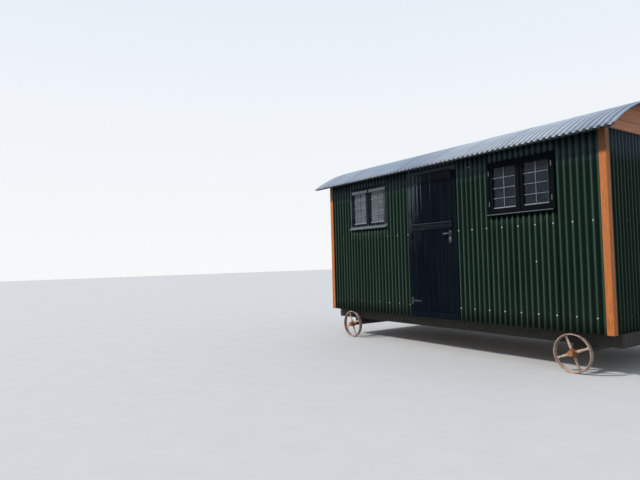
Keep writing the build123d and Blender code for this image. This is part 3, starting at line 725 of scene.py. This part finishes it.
def add_corrugated(mesh, spot, start, end, heights, crest, lap_start, seed):
    """One thin sheet: spot(run, height, out) gives a point. Past lap_start it lies over the next sheet."""
    count = max(2, math.ceil((end - start) / PITCH * STEPS_PER_PITCH))
    crest_layer = mesh.verts.layers.float.get("crest") or mesh.verts.layers.float.new("crest")
    columns = []
    for i in range(count + 1):
        run = start + (end - start) * i / count
        over = min(max((run - lap_start) / LAP_RISE + 1.0, 0.0), 1.0)
        out = SHEET + WAVE * wave(run, crest) + over * SHEET
        column = []
        for height in heights:
            wobble = WOBBLE * noise.noise(Vector((run * 2.3, height * 1.4, seed)))
            vert = mesh.verts.new(spot(run, height, out + wobble))
            vert[crest_layer] = wave(run, crest)
            column.append(vert)
        columns.append(column)
    for left, right in zip(columns, columns[1:]):
        for j in range(len(heights) - 1):
            mesh.faces.new((left[j], right[j], right[j + 1], left[j + 1]))


def add_sheets(mesh, spot, start, end, heights, crest, seed):
    """Sheets side by side from start to end, each lapped over the next."""
    for k in range(math.floor(start / COVER), math.ceil(end / COVER)):
        left = max(start, k * COVER)
        right = min(end, (k + 1) * COVER + LAP)
        lap_start = (k + 1) * COVER
        if right <= lap_start:
            lap_start = right + PITCH
        if right - left > PITCH / 2:
            add_corrugated(mesh, spot, left, right, heights, crest, lap_start, seed)


def make_cladding(name, node, spot, spans, crest, seed):
    """The iron of one wall, over spans of (start, end, bottom, top)."""
    mesh = bmesh.new()
    for start, end, bottom, top in spans:
        rows = max(1, math.ceil((top - bottom) / ROW_HEIGHT))
        heights = [bottom + (top - bottom) * j / rows for j in range(rows + 1)]
        add_sheets(mesh, spot, start, end, heights, crest, seed)
    thicken(make_piece(name, mesh, IRON, replaced=[node], smooth=True))


def front_spot(run, height, out):
    return Vector((run, -(CORE_Y + out), height))


def back_spot(run, height, out):
    return Vector((run, CORE_Y + out, height))


def right_spot(run, height, out):
    return Vector((CORE_X + out, run, height))


def left_spot(run, height, out):
    return Vector((-(CORE_X + out), run, height))


def window_spans(side, start, end):
    """The stretches of wall beside, under and over a window."""
    low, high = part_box(f"{side}_window_frame")
    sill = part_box(f"{side}_casements")[0].z - SILL_JOINT
    return [
        (start, low.x, CLADDING_BOTTOM, CLADDING_TOP),
        (low.x, high.x, CLADDING_BOTTOM, sill),
        (low.x, high.x, high.z, CLADDING_TOP),
        (high.x, end, CLADDING_BOTTOM, CLADDING_TOP),
    ]


make_cladding(
    "iron_front_left", "front_cladding_left", front_spot,
    window_spans("left", -INNER_X, door_frame_low.x), LEFT_CREST, 1.0,
)
make_cladding(
    "iron_front_right", "front_cladding_right", front_spot,
    window_spans("right", door_frame_high.x, INNER_X), RIGHT_CREST, 2.0,
)
make_cladding(
    "iron_over_door", "front_cladding_over_door", front_spot,
    [(door_frame_low.x, door_frame_high.x, door_frame_high.z, CLADDING_TOP)], RIGHT_CREST, 3.0,
)
long_wall = [(-INNER_X, INNER_X, CLADDING_BOTTOM, CLADDING_TOP)]
end_wall = [(-INNER_Y, INNER_Y, CLADDING_BOTTOM, CLADDING_TOP)]
make_cladding("iron_back", "back_cladding", back_spot, long_wall, RIGHT_CREST, 4.0)
make_cladding("iron_right_end", "right_end_cladding", right_spot, end_wall, END_CREST, 5.0)
make_cladding("iron_left_end", "left_end_cladding", left_spot, end_wall, END_CREST, 6.0)


def arc_spot(x, radius, angle):
    return Vector((x, radius * math.sin(angle), ROOF_CENTRE_Z + radius * math.cos(angle)))


def roof_spot(run, angle, out):
    return arc_spot(run, ROOF_RADIUS - WAVE - 2 * SHEET - ROOF_EASE + out, angle)


def make_roof_sheet():
    """The curved sheets, side by side along the hut."""
    mesh = bmesh.new()
    start, end = ROOF_LOW.x + ROOF_END_GAP, ROOF_HIGH.x - ROOF_END_GAP
    reach = math.asin(ROOF_HIGH.y / ROOF_RADIUS)
    angles = [reach * (2 * j / ROOF_ROWS - 1) for j in range(ROOF_ROWS + 1)]
    add_sheets(mesh, roof_spot, start, end, angles, ROOF_CREST, 7.0)
    thicken(make_piece("iron_roof", mesh, ROOF_IRON, replaced=["roof_sheet"], smooth=True))


make_roof_sheet()


# Screws
def crests(start, end, crest, shift, margin=SCREW_MARGIN):
    """Every third crest between start and end, counted from one crest and shifted by some."""
    first = math.ceil((start + margin - crest) / PITCH)
    last = math.floor((end - margin - crest) / PITCH)
    return [crest + k * PITCH for k in range(first, last + 1) if (k - shift) % SCREW_EVERY == 0]


def add_screw(mesh, point, outward):
    matrix = facing(point, outward)
    add_lathe(mesh, WASHER, WASHER_SIDES, matrix)
    add_lathe(mesh, HEAD, HEXAGON, matrix)


def make_wall_screws(name, spot, outward, spans, material):
    """Rows of screws on every third crest, over spans of (start, end, crest, shift)."""
    mesh = bmesh.new()
    for start, end, crest, shift in spans:
        for z in SCREW_ROWS:
            for run in crests(start, end, crest, shift):
                add_screw(mesh, spot(run, z, SCREW_SEAT), outward)
    make_piece(name, mesh, material)


front_spans = [(-INNER_X, door_frame_low.x, LEFT_CREST, 0), (door_frame_high.x, INNER_X, RIGHT_CREST, 2)]
back_span = [(-INNER_X, INNER_X, RIGHT_CREST, 2)]
end_span = [(-INNER_Y, INNER_Y, END_CREST, 1)]
make_wall_screws("screws_front", front_spot, (0, -1, 0), front_spans, SCREW_STEEL)
make_wall_screws("screws_back", back_spot, (0, 1, 0), back_span, SCREW_PAINT)
make_wall_screws("screws_right_end", right_spot, (1, 0, 0), end_span, SCREW_PAINT)
make_wall_screws("screws_left_end", left_spot, (-1, 0, 0), end_span, SCREW_PAINT)


def make_lap_screw():
    """A single screw through a lap in the right-hand sheets."""
    mesh = bmesh.new()
    run = RIGHT_CREST + LAP_SCREW_CREST * PITCH
    add_screw(mesh, front_spot(run, LAP_SCREW_HEIGHT, SCREW_SEAT), (0, -1, 0))
    make_piece("screw_lap", mesh, SCREW_STEEL)


make_lap_screw()


def make_roof_screws():
    mesh = bmesh.new()
    for y in ROOF_SCREW_ROWS:
        angle = math.asin(y / ROOF_RADIUS)
        outward = (0, math.sin(angle), math.cos(angle))
        for run in crests(ROOF_LOW.x, ROOF_HIGH.x, ROOF_CREST, 0, ROOF_SCREW_MARGIN):
            matrix = facing(roof_spot(run, angle, ROOF_SCREW_SEAT), outward)
            add_lathe(mesh, ROOF_WASHER, WASHER_SIDES, matrix)
    make_piece("screws_roof", mesh, SCREW_STEEL)


make_roof_screws()


# Boards
def board_edges(start, end, width, gap=BOARD_GAP):
    """The two edges of each board, side by side with a gap between them."""
    count = round((end - start) / width)
    step = (end - start) / count
    for k in range(count):
        yield start + k * step + gap / 2, start + (k + 1) * step - gap / 2


def add_vertical_boards(mesh, spot, start, end, bottom, top_of, thickness, hole):
    """Boards side by side along a wall, and none in a hole of (start, end, bottom, top).

    spot(run, z, depth) gives a point of the wall, and top_of(run) gives its top.
    """
    count = max(1, round((end - start) / LINING_WIDTH))
    edges = [start + (end - start) * k / count for k in range(count + 1)]
    hole_sides = [side for side in hole[:2] if start < side < end]
    cuts = sorted({*edges, *hole_sides})
    for left, right in zip(cuts, cuts[1:]):
        a = left + (BOARD_GAP / 2 if left in edges else 0)
        b = right - (BOARD_GAP / 2 if right in edges else 0)
        tops = (top_of(a), top_of(b))
        levels = [(bottom, *tops)]
        if hole and hole[0] <= (a + b) / 2 <= hole[1]:
            levels = [(bottom, hole[2], hole[2]), (hole[3], *tops)]
        for low, high_a, high_b in levels:
            outline = [spot(a, low, 0), spot(b, low, 0), spot(b, high_b, 0), spot(a, high_a, 0)]
            add_prism(mesh, outline, spot(a, low, thickness) - spot(a, low, 0))


def make_wall_boards(name, node, hole=()):
    """The inner lining of a wall, in the room that its node takes."""
    low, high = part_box(node)
    along, across = (0, 1) if high.x - low.x > high.y - low.y else (1, 0)
    side = 1 if low[across] > 0 else -1
    face = min(abs(low[across]), abs(high[across]))
    eave = max(abs(low.y), abs(high.y))

    def spot(run, z, depth):
        point = Vector((run, run, z))
        point[across] = side * (face + depth)
        return point

    def top_of(run):
        return arch_z(run if along else eave, ROOF_DEPTH)

    mesh = bmesh.new()
    thickness = high[across] - low[across]
    add_vertical_boards(mesh, spot, low[along], high[along], low.z, top_of, thickness, hole)
    bevel(make_piece(name, mesh, LINING_WOOD, replaced=[node]), BOARD_ARRIS, 1)


def window_hole(side):
    low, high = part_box(f"{side}_window_frame")
    return low.x, high.x, low.z + SILL_OPENING, high.z


make_wall_boards("boards_front_left", "front_wall_left", window_hole("left"))
make_wall_boards("boards_front_right", "front_wall_right", window_hole("right"))
make_wall_boards("boards_over_door", "front_wall_over_door")
make_wall_boards("boards_back", "back_wall")
make_wall_boards("boards_left_end", "left_end_wall")
make_wall_boards("boards_right_end", "right_end_wall")


def add_gable_board(mesh, bottom, top, outer, inner, side):
    """One shiplap board across an end, cut to the roof's arc, its face sloping in toward the top."""
    reach = HALF_WIDTH
    if arch_z(reach, ROOF_DEPTH) < bottom + BOARD_GAP:
        reach = math.sqrt((ROOF_RADIUS - ROOF_DEPTH) ** 2 - (bottom + BOARD_GAP - ROOF_CENTRE_Z) ** 2)
    base = bottom + 2 * BOARD_GAP
    slope = GABLE_SLOPE / (top - bottom)
    last = GABLE_COLUMNS
    columns = [reach * (2 * k / last - 1) for k in range(last + 1)]
    crowns = [min(top, arch_z(y, ROOF_DEPTH)) for y in columns]
    lows = [(y, min(base, crown)) for y, crown in zip(columns, crowns)]
    highs = [(y, max(crown, base)) for y, crown in zip(columns, crowns)]
    front_low = [mesh.verts.new((outer, y, z)) for y, z in lows]
    front_top = [mesh.verts.new((outer - side * slope * (z - base), y, z)) for y, z in highs]
    back_low = [mesh.verts.new((inner, y, z)) for y, z in lows]
    back_top = [mesh.verts.new((inner, y, z)) for y, z in highs]
    for k in range(last):
        mesh.faces.new((front_low[k], front_low[k + 1], front_top[k + 1], front_top[k]))
        mesh.faces.new((back_low[k + 1], back_low[k], back_top[k], back_top[k + 1]))
        mesh.faces.new((front_top[k], front_top[k + 1], back_top[k + 1], back_top[k]))
        mesh.faces.new((front_low[k + 1], front_low[k], back_low[k], back_low[k + 1]))
    mesh.faces.new((front_low[0], front_top[0], back_top[0], back_low[0]))
    mesh.faces.new((front_low[last], back_low[last], back_top[last], front_top[last]))


def make_gable(name, node, side):
    """Shiplap boards between the iron and the roof."""
    low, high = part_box(node)
    outer, inner = (high.x, low.x) if side > 0 else (low.x, high.x)
    mesh = bmesh.new()
    levels = [low.z, *GABLE_JOINTS, high.z + GABLE_OVER]
    for bottom, top in zip(levels, levels[1:]):
        add_gable_board(mesh, bottom, top, outer, inner, side)
    bmesh.ops.remove_doubles(mesh, verts=mesh.verts, dist=0.0001)
    bmesh.ops.dissolve_degenerate(mesh, dist=0.0001, edges=mesh.edges)
    bevel(make_piece(name, mesh, GABLE_WOOD, replaced=[node]), GABLE_ARRIS)


make_gable("gable_right", "right_gable_boards", 1)
make_gable("gable_left", "left_gable_boards", -1)


def make_roof_boards():
    """Boards along the hut under the iron, each turned to the arc, painted dark outside the walls as the
    shade under the overhang.
    """
    low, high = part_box("roof_boards")
    outer = ROOF_RADIUS - WAVE - SHEET - ROOF_EASE
    inner = ROOF_RADIUS - ROOF_DEPTH
    reach = math.asin(high.y / outer)
    ceiling = bmesh.new()
    soffit = bmesh.new()
    for a, b in board_edges(-reach, reach, ROOF_BOARD_WIDTH / outer, BOARD_GAP / outer):
        over_room = abs(outer * math.sin((a + b) / 2)) < HALF_WIDTH - POST / 2
        for start, end in ((low.x, -CORE_X), (-CORE_X, CORE_X), (CORE_X, high.x)):
            ring = ((inner, a), (inner, b), (outer, b), (outer, a))
            outline = [arc_spot(start, radius, angle) for radius, angle in ring]
            inside = over_room and start == -CORE_X
            add_prism(ceiling if inside else soffit, outline, (end - start, 0, 0))
    pieces = (("boards_ceiling", ceiling, CEILING_WOOD), ("boards_soffit", soffit, SOFFIT_SHADE_WOOD))
    for name, mesh, material in pieces:
        bevel(make_piece(name, mesh, material, replaced=["roof_boards"]), BOARD_ARRIS, 1)


make_roof_boards()


def make_floor():
    """Boards along the hut, each in two lengths that meet at a different place."""
    low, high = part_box("floor_boards")
    nearest, farthest = FLOOR_JOINTS
    mesh = bmesh.new()
    for k, (a, b) in enumerate(board_edges(low.y, high.y, FLOOR_WIDTH)):
        joint = low.x + (high.x - low.x) * (nearest + (farthest - nearest) * (k * GOLDEN_SHARE % 1.0))
        add_box(mesh, (low.x, a, low.z), (joint - BOARD_GAP / 2, b, high.z))
        add_box(mesh, (joint + BOARD_GAP / 2, a, low.z), (high.x, b, high.z))
    piece = make_piece("boards_floor", mesh, FLOOR_WOOD, replaced=["floor_boards"])
    bevel(piece, FLOOR_ARRIS, 1)


make_floor()


# Nodes that keep their own mesh
def dress(node, material, arris=0.0):
    """A CAD node's finish, with its arrises rounded where asked."""
    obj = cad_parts[node]
    obj.data.materials.clear()
    obj.data.materials.append(material)
    if arris:
        bevel(obj, arris)


for corner in CORNERS:
    dress(f"corner_post_{corner}", POST_WOOD, 0.003)
dress("chassis_beams", CHASSIS_WOOD_X, 0.004)
dress("end_beams", CHASSIS_WOOD_Y, 0.004)
dress("axle_bolsters", CHASSIS_WOOD_Y, 0.004)
dress("floor_joists", CHASSIS_WOOD_Y, 0.002)
dress("axle_left", AXLE_STEEL, 0.001)
dress("axle_right", AXLE_STEEL, 0.001)
dress("door_frame", JAMB_PAINT, 0.002)
for part in ("frame", "upper_door", "lower_door"):
    dress(f"{part}_hinges", HINGE_STEEL)
dress("door_handle", HANDLE_STEEL, 0.0015)
dress("eave_hook", HOOK_STEEL)
for side, outer_paint, inner_paint, glass in (
    ("left", FADED_PAINT, DULL_PAINT, DUSTY_REFLECTING_GLASS), ("right", FRAME_PAINT, FRAME_PAINT, GLASS),
):
    dress(f"{side}_window_frame", outer_paint, 0.002)
    dress(f"{side}_casements", inner_paint, 0.002)
    dress(f"{side}_window_glass", glass)


def make_beam_bolts():
    """Coach bolts through each end beam into the chassis beams."""
    low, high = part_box("end_beams")
    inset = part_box("chassis_beams")[1].y - BOLT_INSET
    mesh = bmesh.new()
    for side in (-1, 1):
        for y in (-inset, inset):
            for z in (low.z + BOLT_EDGE, high.z - BOLT_EDGE):
                matrix = facing((side * high.x, y, z), (side, 0, 0))
                add_lathe(mesh, BOLT_WASHER, 20, matrix)
                add_lathe(mesh, BOLT_HEAD, HEXAGON, matrix)
    make_piece("beam_bolts", mesh, AXLE_STEEL)


make_beam_bolts()


# Door leaves
def make_leaf(name, node, body):
    """Vertical boards with ledges and a brace behind."""
    low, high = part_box(node)
    board_back = DOOR_BOARD - HALF_WIDTH
    mesh = bmesh.new()
    for a, b in board_edges(low.x, high.x, DOOR_BOARD_WIDTH):
        add_box(mesh, (a, -HALF_WIDTH, low.z), (b, board_back, high.z))
    low_ledge = low.z + LEDGE_MARGIN
    high_ledge = high.z - LEDGE_MARGIN - LEDGE_HEIGHT
    for z in (low_ledge, high_ledge):
        add_box(mesh, (low.x, board_back, z), (high.x, high.y, z + LEDGE_HEIGHT))
    brace = [
        (low.x + BRACE_MARGIN, board_back, low_ledge + LEDGE_HEIGHT),
        (low.x + BRACE_MARGIN + BRACE_WIDTH, board_back, low_ledge + LEDGE_HEIGHT),
        (high.x - BRACE_MARGIN, board_back, high_ledge),
        (high.x - BRACE_MARGIN - BRACE_WIDTH, board_back, high_ledge),
    ]
    add_prism(mesh, brace, (0, high.y - board_back, 0))
    bevel(make_piece(name, mesh, DOOR_PAINT, body, [node]), BOARD_ARRIS)


make_leaf("leaf_upper", "upper_door", "upper_leaf")
make_leaf("leaf_lower", "lower_door", "lower_leaf")


def make_edge_highlight(name, left, right, front, top, wear, material, body="hut"):
    """A strip of painted highlight, partly worn paint, just proud of a front edge."""
    inset, proud, drop = wear
    mesh = bmesh.new()
    add_box(
        mesh, (left + inset, front - proud, top - drop - HIGHLIGHT_HEIGHT),
        (right - inset, front + HIGHLIGHT_DEPTH, top - drop),
    )
    make_piece(name, mesh, material, body)


def make_rail():
    """The rail across the lower leaf, and the painted highlight, partly worn paint, along its top edge."""
    low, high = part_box("lower_door")
    left = low.x + RAIL_INSET
    mesh = bmesh.new()
    outline = [
        (left, -HALF_WIDTH, high.z - RAIL_HEIGHT), (left, low.y, high.z - RAIL_HEIGHT),
        (left, low.y, high.z - RAIL_SLOPE), (left, -HALF_WIDTH, high.z),
    ]
    add_prism(mesh, outline, (high.x - left, 0, 0))
    bevel(make_piece("leaf_lower_rail", mesh, RAIL_PAINT, "lower_leaf"), BOARD_ARRIS)
    make_edge_highlight(
        "leaf_lower_rail_edge", left, high.x, low.y, high.z - RAIL_SLOPE, RAIL_HIGHLIGHT,
        EDGE_HIGHLIGHT_PAINT, "lower_leaf",
    )


make_rail()


def make_keyhole():
    """A small plate with a keyhole under the lever."""
    low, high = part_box("door_handle")
    centre = Vector((high.x, -HALF_WIDTH, low.z)) + KEYHOLE_PLACE
    mesh = bmesh.new()
    add_lathe(mesh, KEYHOLE_RING, 24, facing(centre, (0, -1, 0)), closed=True)
    make_piece("keyhole_ring", mesh, HANDLE_STEEL, "lower_leaf", smooth=True)
    mesh = bmesh.new()
    # Painted shade: a near-black block stands for the shade inside the keyhole.
    add_box(mesh, centre + KEYHOLE_LOW, centre + KEYHOLE_HIGH)
    make_piece("keyhole_slot", mesh, KEYHOLE_SHADE, "lower_leaf")


make_keyhole()


# Windows
def make_bars(side, paint):
    """Glazing bars, with a bead beside each pane and a paler one under it, standing on the lit sides as
    painted light.
    """
    low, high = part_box(f"{side}_window_glass")
    pane = (high.x - low.x - 2 * (STILE + CASEMENT_GAP) - MULLION) / 2
    front = low.y - BAR_FRONT
    back = high.y + BAR_BACK
    half = BAR_WIDTH / 2
    bars = bmesh.new()
    beads = bmesh.new()
    for left in (low.x, high.x - pane):
        right = left + pane
        middle = (left + right) / 2
        add_box(bars, (middle - half, front, low.z), (middle + half, back, high.z))
        for k in range(1, BAR_ROWS):
            z = low.z + (high.z - low.z) * k / BAR_ROWS
            add_box(bars, (left, front + BAR_STEP, z - half), (right, back - BAR_STEP, z + half))
        # Painted light: the pale bead under each pane, and the light bead on its right, stand for the lit
        # bottom and right reveals.
        add_box(beads, (left, front + BAR_STEP, low.z), (right, low.y, low.z + BEAD_HEIGHT))
        add_box(bars, (right - BEAD_WIDTH, front + BAR_STEP, low.z + BEAD_HEIGHT), (right, low.y, high.z))
    bevel(make_piece(f"{side}_glazing_bars", bars, paint), BOARD_ARRIS)
    bevel(make_piece(f"{side}_bottom_beads", beads, LIT_BEAD_PAINT), BOARD_ARRIS)


make_bars("left", PALE_BAR_PAINT)
make_bars("right", BAR_PAINT)


def make_window_trim(side, paint, steel):
    """Butt hinges on the casements' outer stiles, and the painted highlight, partly worn paint, on the
    front edge of the sill.
    """
    frame_low, frame_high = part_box(f"{side}_window_frame")
    case_low, case_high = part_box(f"{side}_casements")
    face = -HALF_WIDTH
    half = HINGE_HEIGHT / 2
    knuckles = bmesh.new()
    flaps = bmesh.new()
    barrel = [(HINGE_RADIUS, 0.0), (HINGE_RADIUS, HINGE_HEIGHT)]
    for x, inward in ((case_low.x - HINGE_SETBACK, 1), (case_high.x + HINGE_SETBACK, -1)):
        on_stile = sorted((x, x + inward * HINGE_FLAP))
        on_frame = sorted((x, x - inward * HINGE_FLAP))
        for z in (case_low.z + HINGE_MARGIN, case_high.z - HINGE_MARGIN):
            add_lathe(knuckles, barrel, 12, Matrix.Translation((x, face - KNUCKLE_PROUD, z - half)))
            for (left, right), (near, far) in ((on_stile, STILE_FLAP), (on_frame, FRAME_FLAP)):
                add_box(flaps, (left, face + near, z - half), (right, face + far, z + half))
    make_piece(f"{side}_window_knuckles", knuckles, steel)
    make_piece(f"{side}_window_flaps", flaps, paint)
    make_edge_highlight(
        f"{side}_sill_edge", frame_low.x, frame_high.x, frame_low.y, frame_low.z + SILL_LIP, SILL_HIGHLIGHT,
        SILL_HIGHLIGHT_PAINT,
    )


make_window_trim("left", DULL_PAINT, DARK_KNUCKLE)
make_window_trim("right", FRAME_PAINT, KNUCKLE_STEEL)


# Wheels
def mirrored(profile):
    """A profile of (radius, height) followed by its image below the middle."""
    return profile + [(radius, -height) for radius, height in reversed(profile)]


def add_spoke(mesh, end, matrix):
    """A tapered oval spoke along X from the hub to its end."""
    rings = []
    for step in range(SPOKE_STEPS + 1):
        share = step / SPOKE_STEPS
        reach = SPOKE_START + (end - SPOKE_START) * share
        flare = max(0, share - SPOKE_FLARE) / (1 - SPOKE_FLARE)
        half_width = SPOKE_WIDTH + SPOKE_TAPER * (flare - math.sin(share * math.pi / 2))
        half_depth = SPOKE_DEPTH - SPOKE_THINNING * share
        turns = [math.tau * n / SPOKE_SIDES for n in range(SPOKE_SIDES)]
        points = [Vector((reach, half_width * math.cos(a), half_depth * math.sin(a))) for a in turns]
        rings.append([mesh.verts.new(matrix @ point) for point in points])
    add_skin(mesh, rings)


def make_wheel(node):
    """A cast wheel: a flat rim, tapered oval spokes and a hub with a collar."""
    low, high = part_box(node)
    centre = (low + high) / 2
    radius = (high.z - low.z) / 2
    outward = -1 if centre.y < 0 else 1
    matrix = Matrix.Translation(centre) @ Matrix.Rotation(outward * math.pi / 2, 4, "X")
    mesh = bmesh.new()
    rim = [(radius - depth, height) for depth, height in RIM]
    add_lathe(mesh, mirrored(rim), RIM_SIDES, matrix, closed=True)
    add_lathe(mesh, mirrored(HUB), HUB_SIDES, matrix, closed=True)
    matrix = matrix @ Matrix.Diagonal((1, outward, 1, 1))
    for k in range(SPOKES):
        turn = Matrix.Rotation(SPOKE_TURN + k * math.tau / SPOKES, 4, "Z")
        add_spoke(mesh, radius - SPOKE_RIM_DEPTH, matrix @ turn)
    piece = make_piece(f"cast_{node}", mesh, RUST, f"{node}_body", [node], smooth=True)
    piece.data.materials.append(HUB_RUST)
    for polygon in piece.data.polygons:
        offset = polygon.center - centre
        polygon.material_index = int(math.hypot(offset.x, offset.z) < HUB_REACH)
    bevel(piece, 0.001)


for corner in CORNERS:
    make_wheel(f"wheel_{corner}")


# Studio
def make_camera():
    data = bpy.data.cameras.new("camera")
    camera = new_object("camera", data)
    right = Vector(CAMERA_RIGHT).normalized()
    up = (-Vector(CAMERA_DOWN)).normalized()
    back = right.cross(up).normalized()
    up = back.cross(right)
    turn = Matrix((right, up, back)).transposed().to_4x4()
    camera.matrix_world = Matrix.Translation(CAMERA_PLACE) @ turn
    data.sensor_fit = "HORIZONTAL"
    data.sensor_width = SENSOR
    data.lens = CAMERA_FOCAL_PIXELS / PHOTO_WIDTH * SENSOR
    data.clip_end = FAR_CLIP
    bpy.context.scene.camera = camera


def seen_directly(tree):
    """1 for what the camera, a reflection or clear glass shows, and 0 for light that bounces."""
    path = add(tree, "LightPath")
    seen = maths(tree, "ADD", path.outputs["Is Camera Ray"], path.outputs["Is Glossy Ray"], clamp=True)
    return maths(tree, "ADD", seen, path.outputs["Is Transmission Ray"], clamp=True)


def make_world():
    """A pale sky: lit plainly, and seen whiter by the camera and by reflections."""
    world = bpy.data.worlds.new("sky")
    bpy.context.scene.world = world
    world.use_nodes = True
    tree = world.node_tree
    where = add(tree, "TexCoord").outputs["Generated"]
    up = add(tree, "SeparateXYZ", Vector=where).outputs["Z"]
    sky = ramp(tree, up, (0.0, (0.8, 0.81, 0.82)), (0.25, (0.78, 0.83, 0.9)), (0.8, (0.6, 0.7, 0.84)))
    pale = ramp(tree, up, (0.0, (0.93, 0.94, 0.95)), (0.3, (0.86, 0.9, 0.95)), (0.9, (0.62, 0.72, 0.86)))
    lit = tree.nodes["Background"]
    fill(tree, lit, Color=sky, Strength=SKY_STRENGTH)
    shown = add(tree, "Background", Color=pale, Strength=1.0)
    mixer = add(tree, "MixShader")
    feed_all(tree, mixer.inputs, (seen_directly(tree), lit.outputs[0], shown.outputs[0]))
    feed(tree, tree.nodes["World Output"].inputs["Surface"], mixer.outputs[0])


def make_sun():
    data = bpy.data.lights.new("key", "SUN")
    data.energy = SUN_STRENGTH
    data.angle = math.radians(5)
    data.color = (1.0, 0.95, 0.88)
    sun = new_object("key", data)
    sun.rotation_euler = Vector(SUN_DIRECTION).to_track_quat("-Z", "Y").to_euler()


def make_studio_floor():
    """A large pale floor, darker to the light that bounces off it."""
    corners = [(x * FLOOR_REACH, y * FLOOR_REACH, 0) for x, y in ((-1, -1), (1, -1), (1, 1), (-1, 1))]
    data = bpy.data.meshes.new("studio_floor")
    data.from_pydata(corners, [], [(0, 1, 2, 3)])
    floor = new_object("studio_floor", data)
    material, tree, shader = tree_of("studio_floor")
    speck = noise_of(tree, place(tree), 3.0, 4.0, 0.6)
    pale = ramp(tree, speck, (0.3, (0.7, 0.71, 0.72)), (0.7, (0.73, 0.74, 0.75)))
    base = blend(tree, seen_directly(tree), (0.3, 0.3, 0.29), pale)
    fill(tree, shader, Base_Color=base, Roughness=0.9)
    data.materials.append(material)


make_camera()
make_world()
make_sun()
make_studio_floor()
bpy.context.scene.view_settings.view_transform = "Standard"
